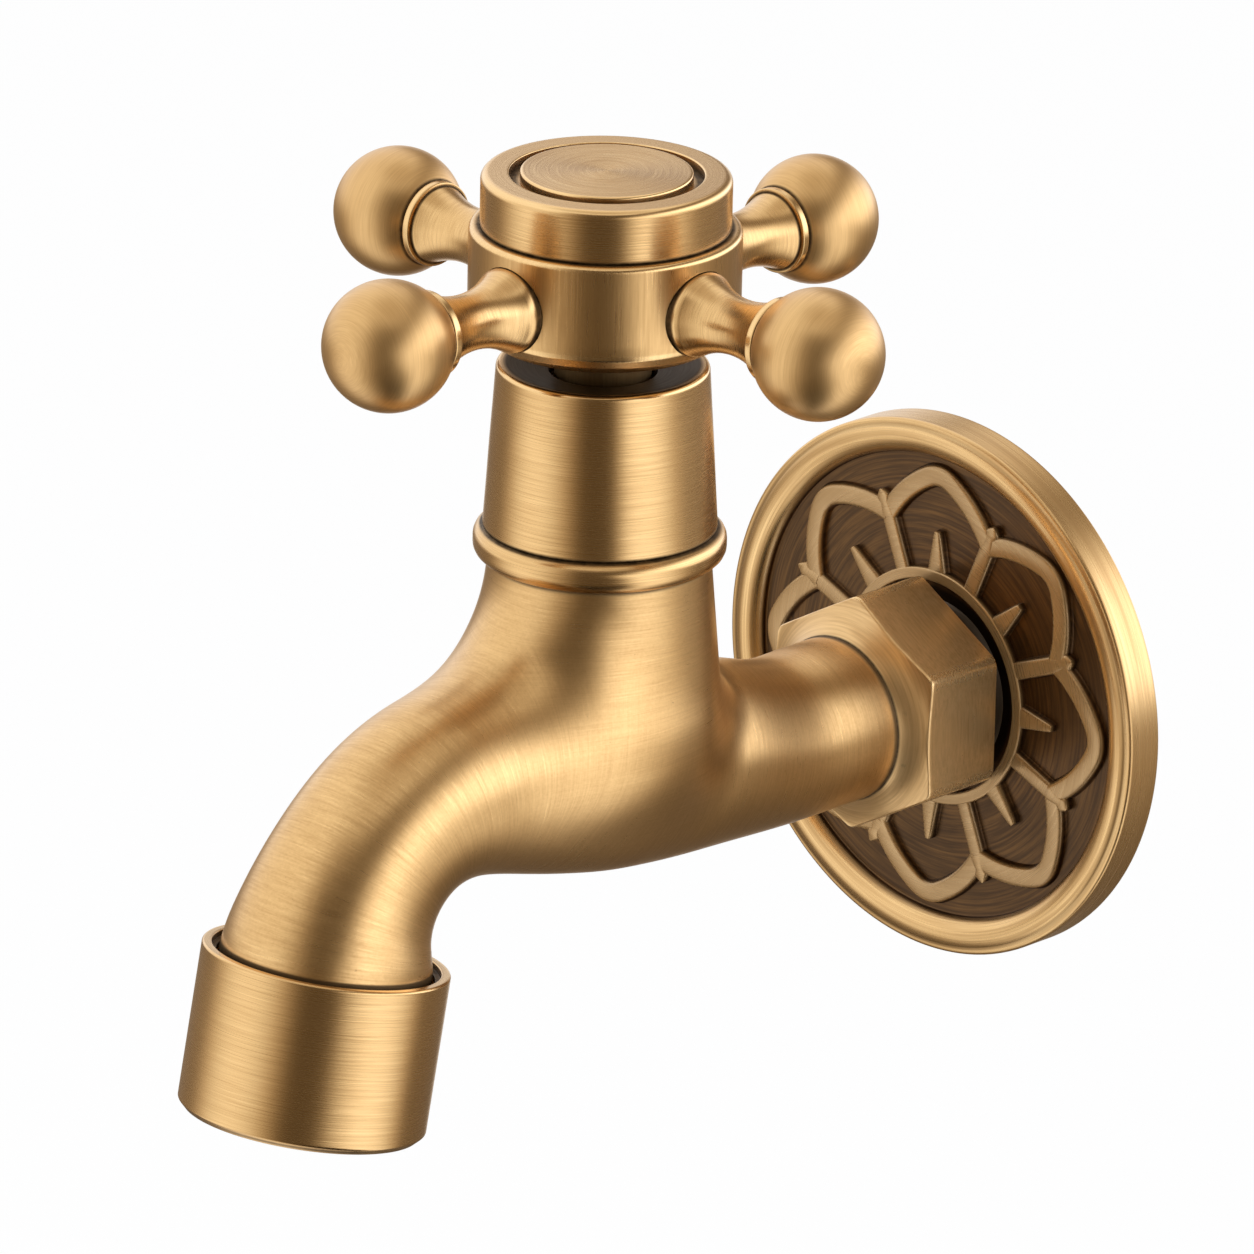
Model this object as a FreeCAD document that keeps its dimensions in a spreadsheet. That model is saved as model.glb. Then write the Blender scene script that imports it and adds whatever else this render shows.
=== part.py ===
import FreeCAD, Part
import math
import os
import re

import Sketcher
from FreeCAD import Placement, Rotation, Vector

# Wall-mounted bib tap with a cross handle, in millimetres.
# The origin is on the inlet axis where the back of the wall flange meets the wall.
# +Z is up, +Y runs into the wall and the spout reaches out along -Y.

# ---------------------------------------------------------------- driving sizes

SIZES = {
    # overall layout
    "handle_reach": 61.45,           # wall to the handle axis
    "spout_tilt": 11.3,              # degrees, nozzle leaning away from the wall
    "fit_gap": 0.05,                 # radial clearance of threads, spigots and turning fits
    "joint_gap": 0.35,               # air between pieces that move past each other
    "cut_margin": 2.0,               # how far a cutting profile runs past the material
    # wall flange
    "flange_radius": 33.5,
    "flange_thickness": 5.25,
    "flange_bore_gap": 0.42,
    "flange_rim_width": 2.2,
    "flange_back_depth": 1.8,
    "flange_hub_width": 2.6,
    "rim_width": 4.4,
    "rim_step": 0.35,
    "rim_step_width": 0.9,
    "rim_bead_radius": 2.4,
    "rim_bead_foot": 0.5,
    "rim_round": 0.5,
    "field_depth": 2.0,
    # lotus relief on the flange
    "petal_count": 8,
    "relief_rise": 1.0,
    "relief_line": 2.2,
    "petal_gap": 1.2,
    "petal_height": 5.1,
    "petal_side_curve": 16.0,
    "petal_tip_curve": 4.0,
    "ring_radius": 14.1,
    "ring_line": 1.5,
    "spike_inset": 1.9,
    "spike_root": 2.6,
    "spike_tip": 0.9,
    "spoke_line": 1.9,
    "bud_neck_rise": 1.3,
    "bud_wide_rise": 2.0,
    "bud_rise": 3.0,
    "bud_neck": 1.2,
    "bud_width": 1.9,
    # inlet tailpiece
    "thread_radius": 10.48,
    "thread_length": 13.0,
    "thread_chamfer": 1.0,
    "tail_neck_radius": 9.6,
    "inlet_bore_radius": 5.6,
    "hex_width": 26.0,
    "hex_length": 14.0,
    "hex_gap": 1.35,
    "hex_flare_depth": 2.83,
    "hex_flare_radius": 6.6,
    "spigot_radius": 8.4,
    "spigot_length": 8.5,
    "socket_floor_gap": 0.3,
    "inlet_seal_section": 1.8,
    # body casting
    "pipe_radius": 10.1,
    "pipe_straight": 11.0,
    "belly_radius": 12.2,
    "belly_rise": 4.3,
    "belly_pitch": 9.0,
    "hip_rise": 2.37,
    "neck_top_height": 31.05,
    "neck_top_radius": 13.1,
    "hip_radius": 14.6,
    "hip_height": 14.0,
    "hip_curve_radius": 17.0,
    "neck_blend_radius": 6.0,
    "neck_edge_chamfer": 0.35,
    "crest_height": 8.5,
    "crest_reach": 23.1,
    "crest_lead_reach": 10.63,
    "crest_lead_lift": 0.3,
    "crest_lead_pitch": 8.0,
    "spout_bend_radius": 20.5,
    "throat_radius": 10.7,
    "spout_end_radius": 12.4,
    "spout_entry": 1.2,
    "waterway_radius": 7.0,
    "waterway_pitch": 4.0,
    "passage_radius": 4.9,
    "passage_rise": 5.74,
    "passage_mouth_radius": 5.25,
    "passage_mouth_rise": 4.9,
    "passage_mouth_reach": 12.96,
    "seat_height": 9.0,
    "seat_hole_radius": 4.8,
    "chamber_radius": 10.8,
    # headwork
    "headwork_thread_radius": 9.0,
    "neck_engagement": 9.0,
    "sleeve_radius": 8.4,
    "disc_bore_radius": 7.0,
    "seal_height": 2.2,
    "seal_proud": 0.9,
    "fixed_disc_height": 2.2,
    "moving_disc_height": 2.4,
    "disc_side_gap": 0.15,
    "seal_chamfer": 0.4,
    "seal_bore_gap": 0.1,
    "port_radius": 5.2,
    "port_hub_radius": 1.7,
    "port_angle": 38.0,
    "lug_width": 3.0,
    "lug_root": 0.5,
    "drive_height": 2.5,
    "drive_radius": 6.4,
    "tang_width": 3.0,
    "tang_depth": 1.2,
    "glide_height": 0.6,
    "shaft_radius": 3.95,
    "headwork_flange_radius": 11.2,
    "headwork_flange_height": 1.3,
    "headwork_hex_width": 19.0,
    "headwork_hex_height": 3.8,
    "headwork_neck_radius": 7.0,
    "bonnet_thread_radius": 7.45,
    "bonnet_thread_height": 7.0,
    "headwork_drop": 3.1,
    "window_width": 7.0,
    "window_height": 4.2,
    "stem_seal_section": 1.6,
    "stem_seal_pitch": 4.5,
    "neck_seal_section": 1.6,
    "clip_thickness": 0.8,
    "clip_radius": 5.2,
    "clip_groove": 0.6,
    "clip_mouth": 4.74,
    # collar ring and bonnet shroud
    "ring_bead_radius": 14.85,
    "ring_bead_height": 3.75,
    "ring_bead_flat": 0.04,
    "shroud_height": 19.85,
    "shroud_bottom_radius": 13.75,
    "shroud_top_radius": 12.45,
    "shroud_wall": 1.3,
    "shroud_crown": 6.0,
    "shroud_dish": 0.85,
    "shroud_edge_round": 0.7,
    "shroud_lip": 1.2,
    # cross handle
    "hub_gap": 2.85,
    "hub_radius": 15.9,
    "hub_height": 13.9,
    "hub_base_radius": 12.6,
    "hub_base_rise": 2.6,
    "hub_base_round": 3.12,
    "hub_top_round": 1.1,
    "boss_radius": 5.65,
    "boss_depth": 1.6,
    "hub_web": 1.1,
    "hub_recess_depth": 4.4,
    "hub_recess_radius": 9.2,
    "spline_count": 16,
    "spline_depth": 0.45,
    "arm_height_in_hub": 7.05,
    "arm_root_radius": 5.0,
    "arm_root_depth": 1.5,
    "arm_spigot_radius": 3.0,
    "arm_spigot_length": 4.1,
    "arm_flare_radius": 4.6,
    "arm_waist_curve": 10.8,
    "arm_shoulder": 0.3,
    "arm_collar_radius": 5.1,
    "arm_collar_width": 1.05,
    "knob_reach": 34.55,
    "knob_radius": 7.68,
    "knob_flat": 5.8,
    "stud_radius": 2.0,
    "stud_length": 4.8,
    # hub cap ring, index disc and screw
    "cap_radius": 14.6,
    "cap_height": 6.35,
    "cap_edge_round": 0.8,
    "cap_groove_radius": 11.3,
    "cap_groove_depth": 1.05,
    "cap_spigot_height": 1.5,
    "cap_bore_radius": 7.8,
    "skirt_radius": 8.8,
    "skirt_wall": 1.0,
    "skirt_depth": 2.6,
    "index_radius": 10.05,
    "index_thickness": 1.35,
    "index_edge_round": 0.35,
    "screw_radius": 1.95,
    "screw_length": 9.0,
    "screw_head_radius": 3.7,
    "screw_head_height": 2.4,
    "screw_crown_radius": 7.4,
    "screw_slot": 1.0,
    # nozzle and aerator
    "outlet_thread_radius": 11.0,
    "outlet_thread_length": 7.8,
    "outlet_bore_radius": 8.8,
    "nozzle_radius": 14.55,
    "nozzle_length": 19.65,
    "nozzle_rim_wall": 1.15,
    "nozzle_rim_depth": 0.8,
    "nozzle_entry_radius": 12.75,
    "nozzle_entry_depth": 3.6,
    "nozzle_lip_radius": 9.4,
    "nozzle_lip_height": 1.75,
    "nozzle_foot_chamfer": 0.8,
    "aerator_washer_height": 1.5,
    "aerator_rim_height": 1.2,
    "aerator_wall": 1.4,
    "aerator_relief": 0.3,
    "diffuser_height": 1.2,
    "diffuser_drop": 1.6,
    "diffuser_hole_radius": 0.75,
    "diffuser_hole_circle": 5.8,
    "diffuser_hole_count": 12,
    "grid_height": 1.3,
    "grid_bar": 0.4,
    "grid_pitch": 2.0,
    "grid_rim": 0.9,
}

# Places that follow from the driving sizes; heights stand on the inlet axis.
PLACES = {
    "flange_bore_radius": "thread_radius + flange_bore_gap",
    "field_radius": "flange_radius - rim_width",
    "field_face": "flange_thickness - field_depth",
    "petal_half_angle": "180 / petal_count",
    "petal_tip_radius": "field_radius - petal_gap - relief_line / 2",
    "petal_valley_radius": "petal_tip_radius - petal_height",
    "valley_across": "petal_valley_radius * sin(petal_half_angle)",
    "valley_up": "petal_valley_radius * cos(petal_half_angle)",
    "tip_centre_up": "petal_tip_radius - petal_tip_curve",
    "tip_climb": "tip_centre_up - valley_up",
    "tip_distance": "sqrt(valley_across ^ 2 + tip_climb ^ 2)",
    "side_centre_gap": "petal_side_curve - petal_tip_curve",
    "side_share": "((petal_side_curve ^ 2 - side_centre_gap ^ 2) / tip_distance ^ 2 + 1) / 2",
    "side_shift": "sqrt((petal_side_curve / tip_distance) ^ 2 - side_share ^ 2)",
    "side_across": "valley_across * (1 - side_share) - side_shift * tip_climb",
    "side_up": "valley_up + side_share * tip_climb - side_shift * valley_across",
    "hex_back": "flange_thickness + hex_gap",
    "hex_front": "hex_back + hex_length",
    "hex_corner_radius": "hex_width / sqrt(3)",
    "spigot_end": "hex_front + spigot_length",
    "socket_radius": "spigot_radius + fit_gap",
    "inlet_seal_reach": "hex_front + spigot_length / 2",
    "crest_out": "handle_reach + crest_reach",
    "bend_height": "crest_height - spout_bend_radius",
    "bend_turn": "90 - spout_tilt",
    "rim_out": "crest_out + spout_bend_radius * sin(bend_turn)",
    "rim_height": "bend_height + spout_bend_radius * cos(bend_turn)",
    "seal_bottom": "seat_height",
    "fixed_disc_bottom": "seal_bottom + seal_height",
    "moving_disc_bottom": "fixed_disc_bottom + fixed_disc_height",
    "drive_bottom": "moving_disc_bottom + moving_disc_height",
    "glide_bottom": "drive_bottom + drive_height",
    "sleeve_shoulder": "glide_bottom + glide_height + fit_gap",
    "sleeve_bottom": "seal_bottom + seal_proud",
    "neck_thread_bottom": "neck_top_height - neck_engagement",
    "neck_bore_radius": "headwork_thread_radius + fit_gap",
    "shaft_bore_radius": "shaft_radius + fit_gap",
    "shroud_bottom": "neck_top_height + ring_bead_height",
    "shroud_top": "shroud_bottom + shroud_height",
    "shroud_crown_bottom": "shroud_top - shroud_crown",
    "headwork_hex_top": "neck_top_height + headwork_flange_height + headwork_hex_height",
    "headwork_top": "shroud_top - headwork_drop",
    "bonnet_thread_bottom": "headwork_top - bonnet_thread_height",
    "bonnet_bore_radius": "bonnet_thread_radius + fit_gap",
    "boss_hole_radius": "boss_radius + 2 * joint_gap",
    "boss_bottom": "shroud_top - boss_depth",
    "clip_bottom": "headwork_top + fit_gap",
    "hub_bottom": "shroud_top + hub_gap",
    "hub_top": "hub_bottom + hub_height",
    "hub_recess_floor": "hub_top - hub_recess_depth",
    "spline_top": "hub_recess_floor - hub_web",
    "spindle_top": "spline_top - joint_gap",
    "spline_bottom": "boss_bottom - joint_gap",
    "arm_height": "hub_bottom + arm_height_in_hub",
    "arm_root_floor": "hub_radius - arm_root_depth",
    "arm_spigot_end": "arm_root_floor - arm_spigot_length",
    "arm_collar_end": "knob_reach - knob_flat",
    "arm_collar_start": "arm_collar_end - arm_collar_width",
    "cap_top": "hub_top + cap_height",
    "index_seat": "cap_top - cap_groove_depth",
    "outlet_thread_end": "spout_entry + outlet_thread_length",
    "insert_bore_radius": "outlet_thread_radius + fit_gap",
    "lip_face": "nozzle_length - nozzle_lip_height",
    "washer_top": "outlet_thread_end + fit_gap",
    "insert_top": "washer_top + aerator_washer_height",
    "insert_radius": "insert_bore_radius - fit_gap",
    "insert_inner_radius": "insert_radius - aerator_wall",
    "grid_top": "lip_face - grid_height",
    "diffuser_top": "insert_top + diffuser_drop",
}

MATCH = 0.01  # how close an edge's place and radius must come to the asked ones

ARM_TURNS = {"front": -90, "right": 0, "back": 90, "left": 180}

doc = FreeCAD.newDocument("cross_handle_tap")
sheet = doc.addObject("Spreadsheet::Sheet", "sizes")


def fill_sheet():
    """Driving sizes as plain numbers in the upper rows, places worked out from them below."""
    cells = {alias: repr(size) for alias, size in SIZES.items()}
    cells.update({alias: "=" + rule for alias, rule in PLACES.items()})
    for row, (alias, content) in enumerate(cells.items(), start=1):
        sheet.set(f"A{row}", alias)
        sheet.set(f"B{row}", content)
        sheet.setAlias(f"B{row}", alias)
    doc.recompute()


def formula(rule):
    """The rule with every size written as a reference to the sheet."""
    def known(word):
        alias = word[0]
        return f"sizes.{alias}" if alias in SIZES or alias in PLACES else alias
    return re.sub(r"[a-z_]+", known, str(rule))


def number(rule):
    """The present worth of a rule, for laying out a sketch before it is constrained."""
    result = sheet.evalExpression(formula(rule))
    return float(getattr(result, "Value", result))


# ---------------------------------------------------------------- sketches and features


def new_body(label, out="0", height="0", axis=Vector(0, 0, 1), turn="0"):
    """A sub-part standing `out` from the wall at `height`, turned about `axis`."""
    body = doc.addObject("PartDesign::Body", label)
    body.Label = label
    body.Placement = Placement(Vector(0, 0, 0), Rotation(axis, number(turn)))
    body.setExpression("Placement.Base.y", "-(" + formula(out) + ")")
    body.setExpression("Placement.Base.z", formula(height))
    if str(turn) != "0":
        body.setExpression("Placement.Rotation.Angle", "(" + formula(turn) + ") * 1 deg")
    return body


def new_sketch(body, name, plane, out="0", height="0", depth="0", pitch="0"):
    """A sketch on one of the sub-part's own planes, shifted and pitched about X."""
    sketch = body.newObject("Sketcher::SketchObject", name)
    roles = {feature.Role: feature for feature in body.Origin.OriginFeatures}
    sketch.AttachmentSupport = [(roles[plane + "_Plane"], "")]
    sketch.MapMode = "FlatFace"
    shift = Vector(0, number(out), number(height) + number(depth))
    sketch.AttachmentOffset = Placement(shift, Rotation(Vector(1, 0, 0), number(pitch)))
    sketch.setExpression("AttachmentOffset.Base.y", formula(out))
    sketch.setExpression("AttachmentOffset.Base.z", formula(height) + " + " + formula(depth))
    if str(pitch) != "0":
        sketch.setExpression("AttachmentOffset.Rotation.Angle", "(" + formula(pitch) + ") * 1 deg")
    return sketch


def place_point(sketch, geometry, point, across, up):
    """Tie a point of the geometry to its two coordinates."""
    for kind, rule in (("DistanceX", across), ("DistanceY", up)):
        index = sketch.addConstraint(Sketcher.Constraint(kind, -1, 1, geometry, point, number(rule)))
        if re.search("[a-z]", str(rule)):
            sketch.setExpression(f"Constraints[{index}]", formula(rule))


def arc_run(start, end, radius):
    """Arc from start to end; a positive radius turns left on the way, a negative one right."""
    chord = end - start
    half = chord.Length / 2
    rise = math.sqrt(max(radius * radius - half * half, 0))
    left = Vector(-chord.y, chord.x, 0).normalize()
    centre = (start + end) * 0.5 + left * math.copysign(rise, radius)
    first, last = (start, end) if radius > 0 else (end, start)
    circle = Part.Circle(centre, Vector(0, 0, 1), abs(radius))
    return Part.ArcOfCircle(circle, circle.parameter(first), circle.parameter(last))


def add_outline(sketch, vertices):
    """Closed outline of tied vertices (across, up), reached by an arc where a radius follows."""
    points = [Vector(number(v[0]), number(v[1]), 0) for v in vertices]
    ends = []
    for index, vertex in enumerate(vertices):
        start, end = points[index - 1], points[index]
        if len(vertex) == 2:
            run = sketch.addGeometry(Part.LineSegment(start, end))
            ends.append((run, 1, 2))
            continue
        radius = number(vertex[2])
        run = sketch.addGeometry(arc_run(start, end, radius))
        ends.append((run, 1, 2) if radius > 0 else (run, 2, 1))
        tie = sketch.addConstraint(Sketcher.Constraint("Radius", run, abs(radius)))
        if re.search("[a-z]", str(vertex[2])):
            sketch.setExpression(f"Constraints[{tie}]", "abs(" + formula(vertex[2]) + ")")
    for index, vertex in enumerate(vertices):
        run, _, finish = ends[index]
        following, begin, _ = ends[(index + 1) % len(vertices)]
        sketch.addConstraint(Sketcher.Constraint("Coincident", run, finish, following, begin))
        place_point(sketch, run, finish, vertex[0], vertex[1])


def add_circle(sketch, across, up, radius):
    """Circle tied by its centre and radius."""
    centre = Vector(number(across), number(up), 0)
    run = sketch.addGeometry(Part.Circle(centre, Vector(0, 0, 1), number(radius)))
    tie = sketch.addConstraint(Sketcher.Constraint("Radius", run, number(radius)))
    sketch.setExpression(f"Constraints[{tie}]", formula(radius))
    place_point(sketch, run, 3, across, up)


def turned(body, name, vertices, plane="XZ", axis="V_Axis", cut=False, depth="0"):
    """Lathe feature: an outline turned about an axis of its sketch, added or cut away."""
    sketch = new_sketch(body, name + "_profile", plane, depth=depth)
    add_outline(sketch, vertices)
    kind = "PartDesign::Groove" if cut else "PartDesign::Revolution"
    feature = body.newObject(kind, name)
    feature.Profile = sketch
    feature.ReferenceAxis = (sketch, [axis])
    feature.Angle = 360
    return feature


def turned_circle(body, name, across, up, radius, plane="XZ"):
    """Ring of round section about the V axis of its sketch, like an O-ring."""
    sketch = new_sketch(body, name + "_section", plane)
    add_circle(sketch, across, up, radius)
    feature = body.newObject("PartDesign::Revolution", name)
    feature.Profile = sketch
    feature.ReferenceAxis = (sketch, ["V_Axis"])
    feature.Angle = 360
    return feature


def pad(body, name, sketch, length, reversed_way=False):
    feature = body.newObject("PartDesign::Pad", name)
    feature.Profile = sketch
    feature.Reversed = reversed_way
    feature.setExpression("Length", formula(length))
    return feature


def pocket(body, name, sketch, length, reversed_way=False):
    feature = body.newObject("PartDesign::Pocket", name)
    feature.Profile = sketch
    feature.Reversed = reversed_way
    feature.setExpression("Length", formula(length))
    return feature


def polar_copies(body, name, originals, axis_sketch, axis, count):
    """The features repeated evenly about an axis of a sketch."""
    feature = body.newObject("PartDesign::PolarPattern", name)
    feature.Originals = originals
    feature.Axis = (axis_sketch, [axis])
    feature.Angle = 360
    feature.setExpression("Occurrences", formula(count))
    body.Tip = feature
    return feature


def edges_where(shape, test):
    """Names of the edges that pass the test."""
    return [f"Edge{index}" for index, edge in enumerate(shape.Edges, start=1) if test(edge)]


def circle_edges(shape, axis, radius, station):
    """Names of the round edges of this radius at this station along the axis."""
    def test(edge):
        if not isinstance(edge.Curve, Part.Circle):
            return False
        centre = edge.Curve.Center
        near = abs(getattr(centre, axis) - station) < MATCH
        return near and abs(edge.Curve.Radius - radius) < MATCH
    return edges_where(shape, test)


def dress_edges(body, name, kind, base, edge_names, rule):
    """Round (kind Fillet) or bevel (kind Chamfer) the named edges of a feature."""
    feature = body.newObject("PartDesign::" + kind, name)
    feature.Base = (base, edge_names)
    size = "Radius" if kind == "Fillet" else "Size"
    feature.setExpression(size, formula(rule))
    return feature


def hexagon(width):
    """Corners of a hexagon with two corners on the up axis, from its width across flats."""
    corners = []
    for step in range(6):
        turn = 90 + 60 * step
        corners.append((f"{width} / sqrt(3) * cos({turn})", f"{width} / sqrt(3) * sin({turn})"))
    return corners


# ---------------------------------------------------------------- wall side


def build_wall_flange():
    """Round cover plate: hollow back, moulded rim, sunk field with a lotus of eight petals."""
    body = new_body("wall_flange")
    turned(body, "plate", [
        ("flange_bore_radius", "0"),
        ("flange_bore_radius + flange_hub_width", "0"),
        ("flange_bore_radius + flange_hub_width", "-flange_back_depth"),
        ("flange_radius - flange_rim_width", "-flange_back_depth"),
        ("flange_radius - flange_rim_width", "0"),
        ("flange_radius", "0"),
        ("flange_radius", "-(flange_thickness - rim_step - rim_round)"),
        ("flange_radius - rim_round", "-(flange_thickness - rim_step)", "-rim_round"),
        ("flange_radius - rim_step_width", "-(flange_thickness - rim_step)"),
        ("field_radius", "-(field_face + rim_bead_foot)", "-rim_bead_radius"),
        ("field_radius", "-field_face"),
        ("flange_bore_radius", "-field_face"),
    ], plane="XY")
    ring_relief(body)
    petal = new_sketch(body, "petal_outline", "XZ", depth="field_face - fit_gap")
    add_outline(petal, petal_vertices())
    petal_pad = pad(body, "petal", petal, "relief_rise + fit_gap")
    spike = new_sketch(body, "spike_outline", "XZ", depth="field_face - fit_gap")
    add_outline(spike, [
        ("-spike_root / 2", "ring_radius"),
        ("spike_root / 2", "ring_radius"),
        ("spike_tip / 2", "petal_valley_radius - spike_inset"),
        ("-spike_tip / 2", "petal_valley_radius - spike_inset"),
    ])
    spike_pad = pad(body, "spike", spike, "relief_rise + fit_gap")
    spoke = new_sketch(body, "spoke_outline", "XZ", depth="field_face - fit_gap")
    add_outline(spoke, spoke_vertices())
    spoke_pad = pad(body, "spoke", spoke, "relief_rise + fit_gap")
    polar_copies(body, "lotus", [petal_pad, spike_pad, spoke_pad], petal, "N_Axis", "petal_count")
    return body


def petal_side(shift):
    """Foot and shoulder of a petal's right side, `shift` outside its middle line."""
    reach = f"(petal_side_curve + ({shift}))"
    foot = (
        f"side_across + (valley_across - side_across) * {reach} / petal_side_curve",
        f"side_up + (valley_up - side_up) * {reach} / petal_side_curve",
    )
    shoulder = (
        f"side_across - side_across * {reach} / side_centre_gap",
        f"side_up + (tip_centre_up - side_up) * {reach} / side_centre_gap",
    )
    return foot, shoulder


def mirrored(vertex):
    """The vertex on the other side of the up axis."""
    return f"-({vertex[0]})", vertex[1]


def petal_vertices():
    """Pointed arch between two valleys: two long side arcs and a tight one round the tip."""
    outer_foot, outer_shoulder = petal_side("relief_line / 2")
    inner_foot, inner_shoulder = petal_side("-relief_line / 2")
    outer_curve = "-(petal_side_curve + relief_line / 2)"
    inner_curve = "petal_side_curve - relief_line / 2"
    return [
        mirrored(outer_foot),
        (*mirrored(outer_shoulder), outer_curve),
        (*outer_shoulder, "-(petal_tip_curve + relief_line / 2)"),
        (*outer_foot, outer_curve),
        inner_foot,
        (*inner_shoulder, inner_curve),
        (*mirrored(inner_shoulder), "petal_tip_curve - relief_line / 2"),
        (*mirrored(inner_foot), inner_curve),
    ]


def spoke_vertices():
    """Spoke from the ring to a valley, ending in a small bud, turned half a petal aside."""
    local = [
        ("-spoke_line / 2", "ring_radius"),
        ("spoke_line / 2", "ring_radius"),
        ("spoke_line / 2", "petal_valley_radius"),
        ("bud_neck / 2", "petal_valley_radius + bud_neck_rise"),
        ("bud_width / 2", "petal_valley_radius + bud_wide_rise"),
        ("0", "petal_valley_radius + bud_rise"),
        ("-bud_width / 2", "petal_valley_radius + bud_wide_rise"),
        ("-bud_neck / 2", "petal_valley_radius + bud_neck_rise"),
        ("-spoke_line / 2", "petal_valley_radius"),
    ]
    across = "({0}) * cos(petal_half_angle) + ({1}) * sin(petal_half_angle)"
    up = "({1}) * cos(petal_half_angle) - ({0}) * sin(petal_half_angle)"
    return [(across.format(*vertex), up.format(*vertex)) for vertex in local]


def ring_relief(body):
    """Raised ring round the bore, from which the spikes and spokes grow."""
    sketch = new_sketch(body, "ring_outline", "XZ", depth="field_face - fit_gap")
    add_circle(sketch, "0", "0", "ring_radius + ring_line / 2")
    add_circle(sketch, "0", "0", "ring_radius - ring_line / 2")
    return pad(body, "ring", sketch, "relief_rise + fit_gap")


def build_inlet_tailpiece():
    """Hexagon with a flared front, threaded tail into the wall and spigot into the body."""
    body = new_body("inlet_tailpiece")
    turned(body, "barrel", [
        ("inlet_bore_radius", "thread_length"),
        ("inlet_bore_radius", "-spigot_end"),
        ("spigot_radius", "-spigot_end"),
        ("spigot_radius", "-(hex_front - fit_gap)"),
        ("tail_neck_radius", "-(hex_front - fit_gap)"),
        ("tail_neck_radius", "0"),
        ("thread_radius", "0"),
        ("thread_radius", "thread_length - thread_chamfer"),
        ("thread_radius - thread_chamfer", "thread_length"),
    ][::-1], plane="XY")
    flats = new_sketch(body, "hexagon", "XZ", depth="hex_back")
    add_outline(flats, hexagon("hex_width"))
    add_circle(flats, "0", "0", "tail_neck_radius - fit_gap")
    pad(body, "hex", flats, "hex_length")
    turned(body, "hex_front_flare", [
        ("pipe_radius", "-hex_front"),
        ("hex_corner_radius", "-(hex_front - hex_flare_depth)", "-hex_flare_radius"),
        ("hex_corner_radius + cut_margin", "-(hex_front - hex_flare_depth)"),
        ("hex_corner_radius + cut_margin", "-(hex_front + cut_margin)"),
        ("pipe_radius", "-(hex_front + cut_margin)"),
    ], plane="XY", cut=True)
    groove_side = "inlet_seal_section / 2 + fit_gap"
    turned(body, "seal_groove", [
        ("spigot_radius - inlet_seal_section", f"-(inlet_seal_reach - ({groove_side}))"),
        ("spigot_radius + cut_margin", f"-(inlet_seal_reach - ({groove_side}))"),
        ("spigot_radius + cut_margin", f"-(inlet_seal_reach + ({groove_side}))"),
        ("spigot_radius - inlet_seal_section", f"-(inlet_seal_reach + ({groove_side}))"),
    ], plane="XY", cut=True)
    return body


def build_inlet_o_ring():
    """Rubber ring in the spigot groove."""
    body = new_body("inlet_o_ring")
    centre = "socket_radius - inlet_seal_section / 2"
    turned_circle(body, "ring", centre, "-inlet_seal_reach", "inlet_seal_section / 2 - fit_gap / 2", "XY")
    return body


# ---------------------------------------------------------------- body casting


def tube_sections():
    """Stations of the casting from the inlet to the nozzle: out, height, fall angle, radius."""
    stations = [
        ("hex_front", "0", "0", "pipe_radius"),
        ("hex_front + pipe_straight / 2", "0", "0", "pipe_radius"),
        ("hex_front + pipe_straight", "0", "0", "pipe_radius"),
        ("handle_reach - hip_radius", "hip_rise", "-belly_pitch", "(pipe_radius + 3 * belly_radius) / 4"),
        ("handle_reach", "belly_rise", "-belly_pitch", "belly_radius"),
        ("handle_reach + crest_lead_reach", "(belly_rise + crest_height) / 2 + crest_lead_lift",
         "-crest_lead_pitch", "belly_radius"),
        ("crest_out", "crest_height", "0", "(belly_radius + throat_radius) / 2"),
    ]
    # each station of the bend by its share of the turn
    bend = [
        (0.33, "throat_radius"),
        (0.62, "throat_radius"),
        (0.84, "(throat_radius + spout_end_radius) / 2"),
        (1.0, "spout_end_radius"),
    ]
    for share, radius in bend:
        turn = f"(bend_turn * {share})"
        stations.append((f"crest_out + spout_bend_radius * sin({turn})",
                         f"bend_height + spout_bend_radius * cos({turn})", turn, radius))
    return stations


def add_station(body, name, station):
    """Round section at a station, as two half circles that meet on the casting's mid plane."""
    out, height, fall, radius = station
    sketch = new_sketch(body, name, "XY", out=f"-({out})", height=height, pitch=f"90 + ({fall})")
    size = number(radius)
    circle = Part.Circle(Vector(0, 0, 0), Vector(0, 0, 1), size)
    near = sketch.addGeometry(Part.ArcOfCircle(circle, -math.pi / 2, math.pi / 2))
    far = sketch.addGeometry(Part.ArcOfCircle(circle, math.pi / 2, 3 * math.pi / 2))
    sketch.addConstraint(Sketcher.Constraint("Coincident", near, 3, -1, 1))
    sketch.addConstraint(Sketcher.Constraint("Coincident", far, 3, -1, 1))
    sketch.addConstraint(Sketcher.Constraint("Coincident", near, 2, far, 1))
    sketch.addConstraint(Sketcher.Constraint("Coincident", far, 2, near, 1))
    sketch.addConstraint(Sketcher.Constraint("PointOnObject", near, 1, -2))
    sketch.addConstraint(Sketcher.Constraint("PointOnObject", near, 2, -2))
    tie = sketch.addConstraint(Sketcher.Constraint("Radius", near, size))
    sketch.setExpression(f"Constraints[{tie}]", formula(radius))
    return sketch


def loft(body, name, kind, stations):
    """Smooth tube through the stations, added or cut away."""
    sketches = [add_station(body, f"{name}_station_{index}", station)
                for index, station in enumerate(stations, start=1)]
    feature = body.newObject("PartDesign::" + kind, name)
    feature.Profile = sketches[0]
    feature.Sections = sketches[1:]
    feature.Ruled = False
    return feature


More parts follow.
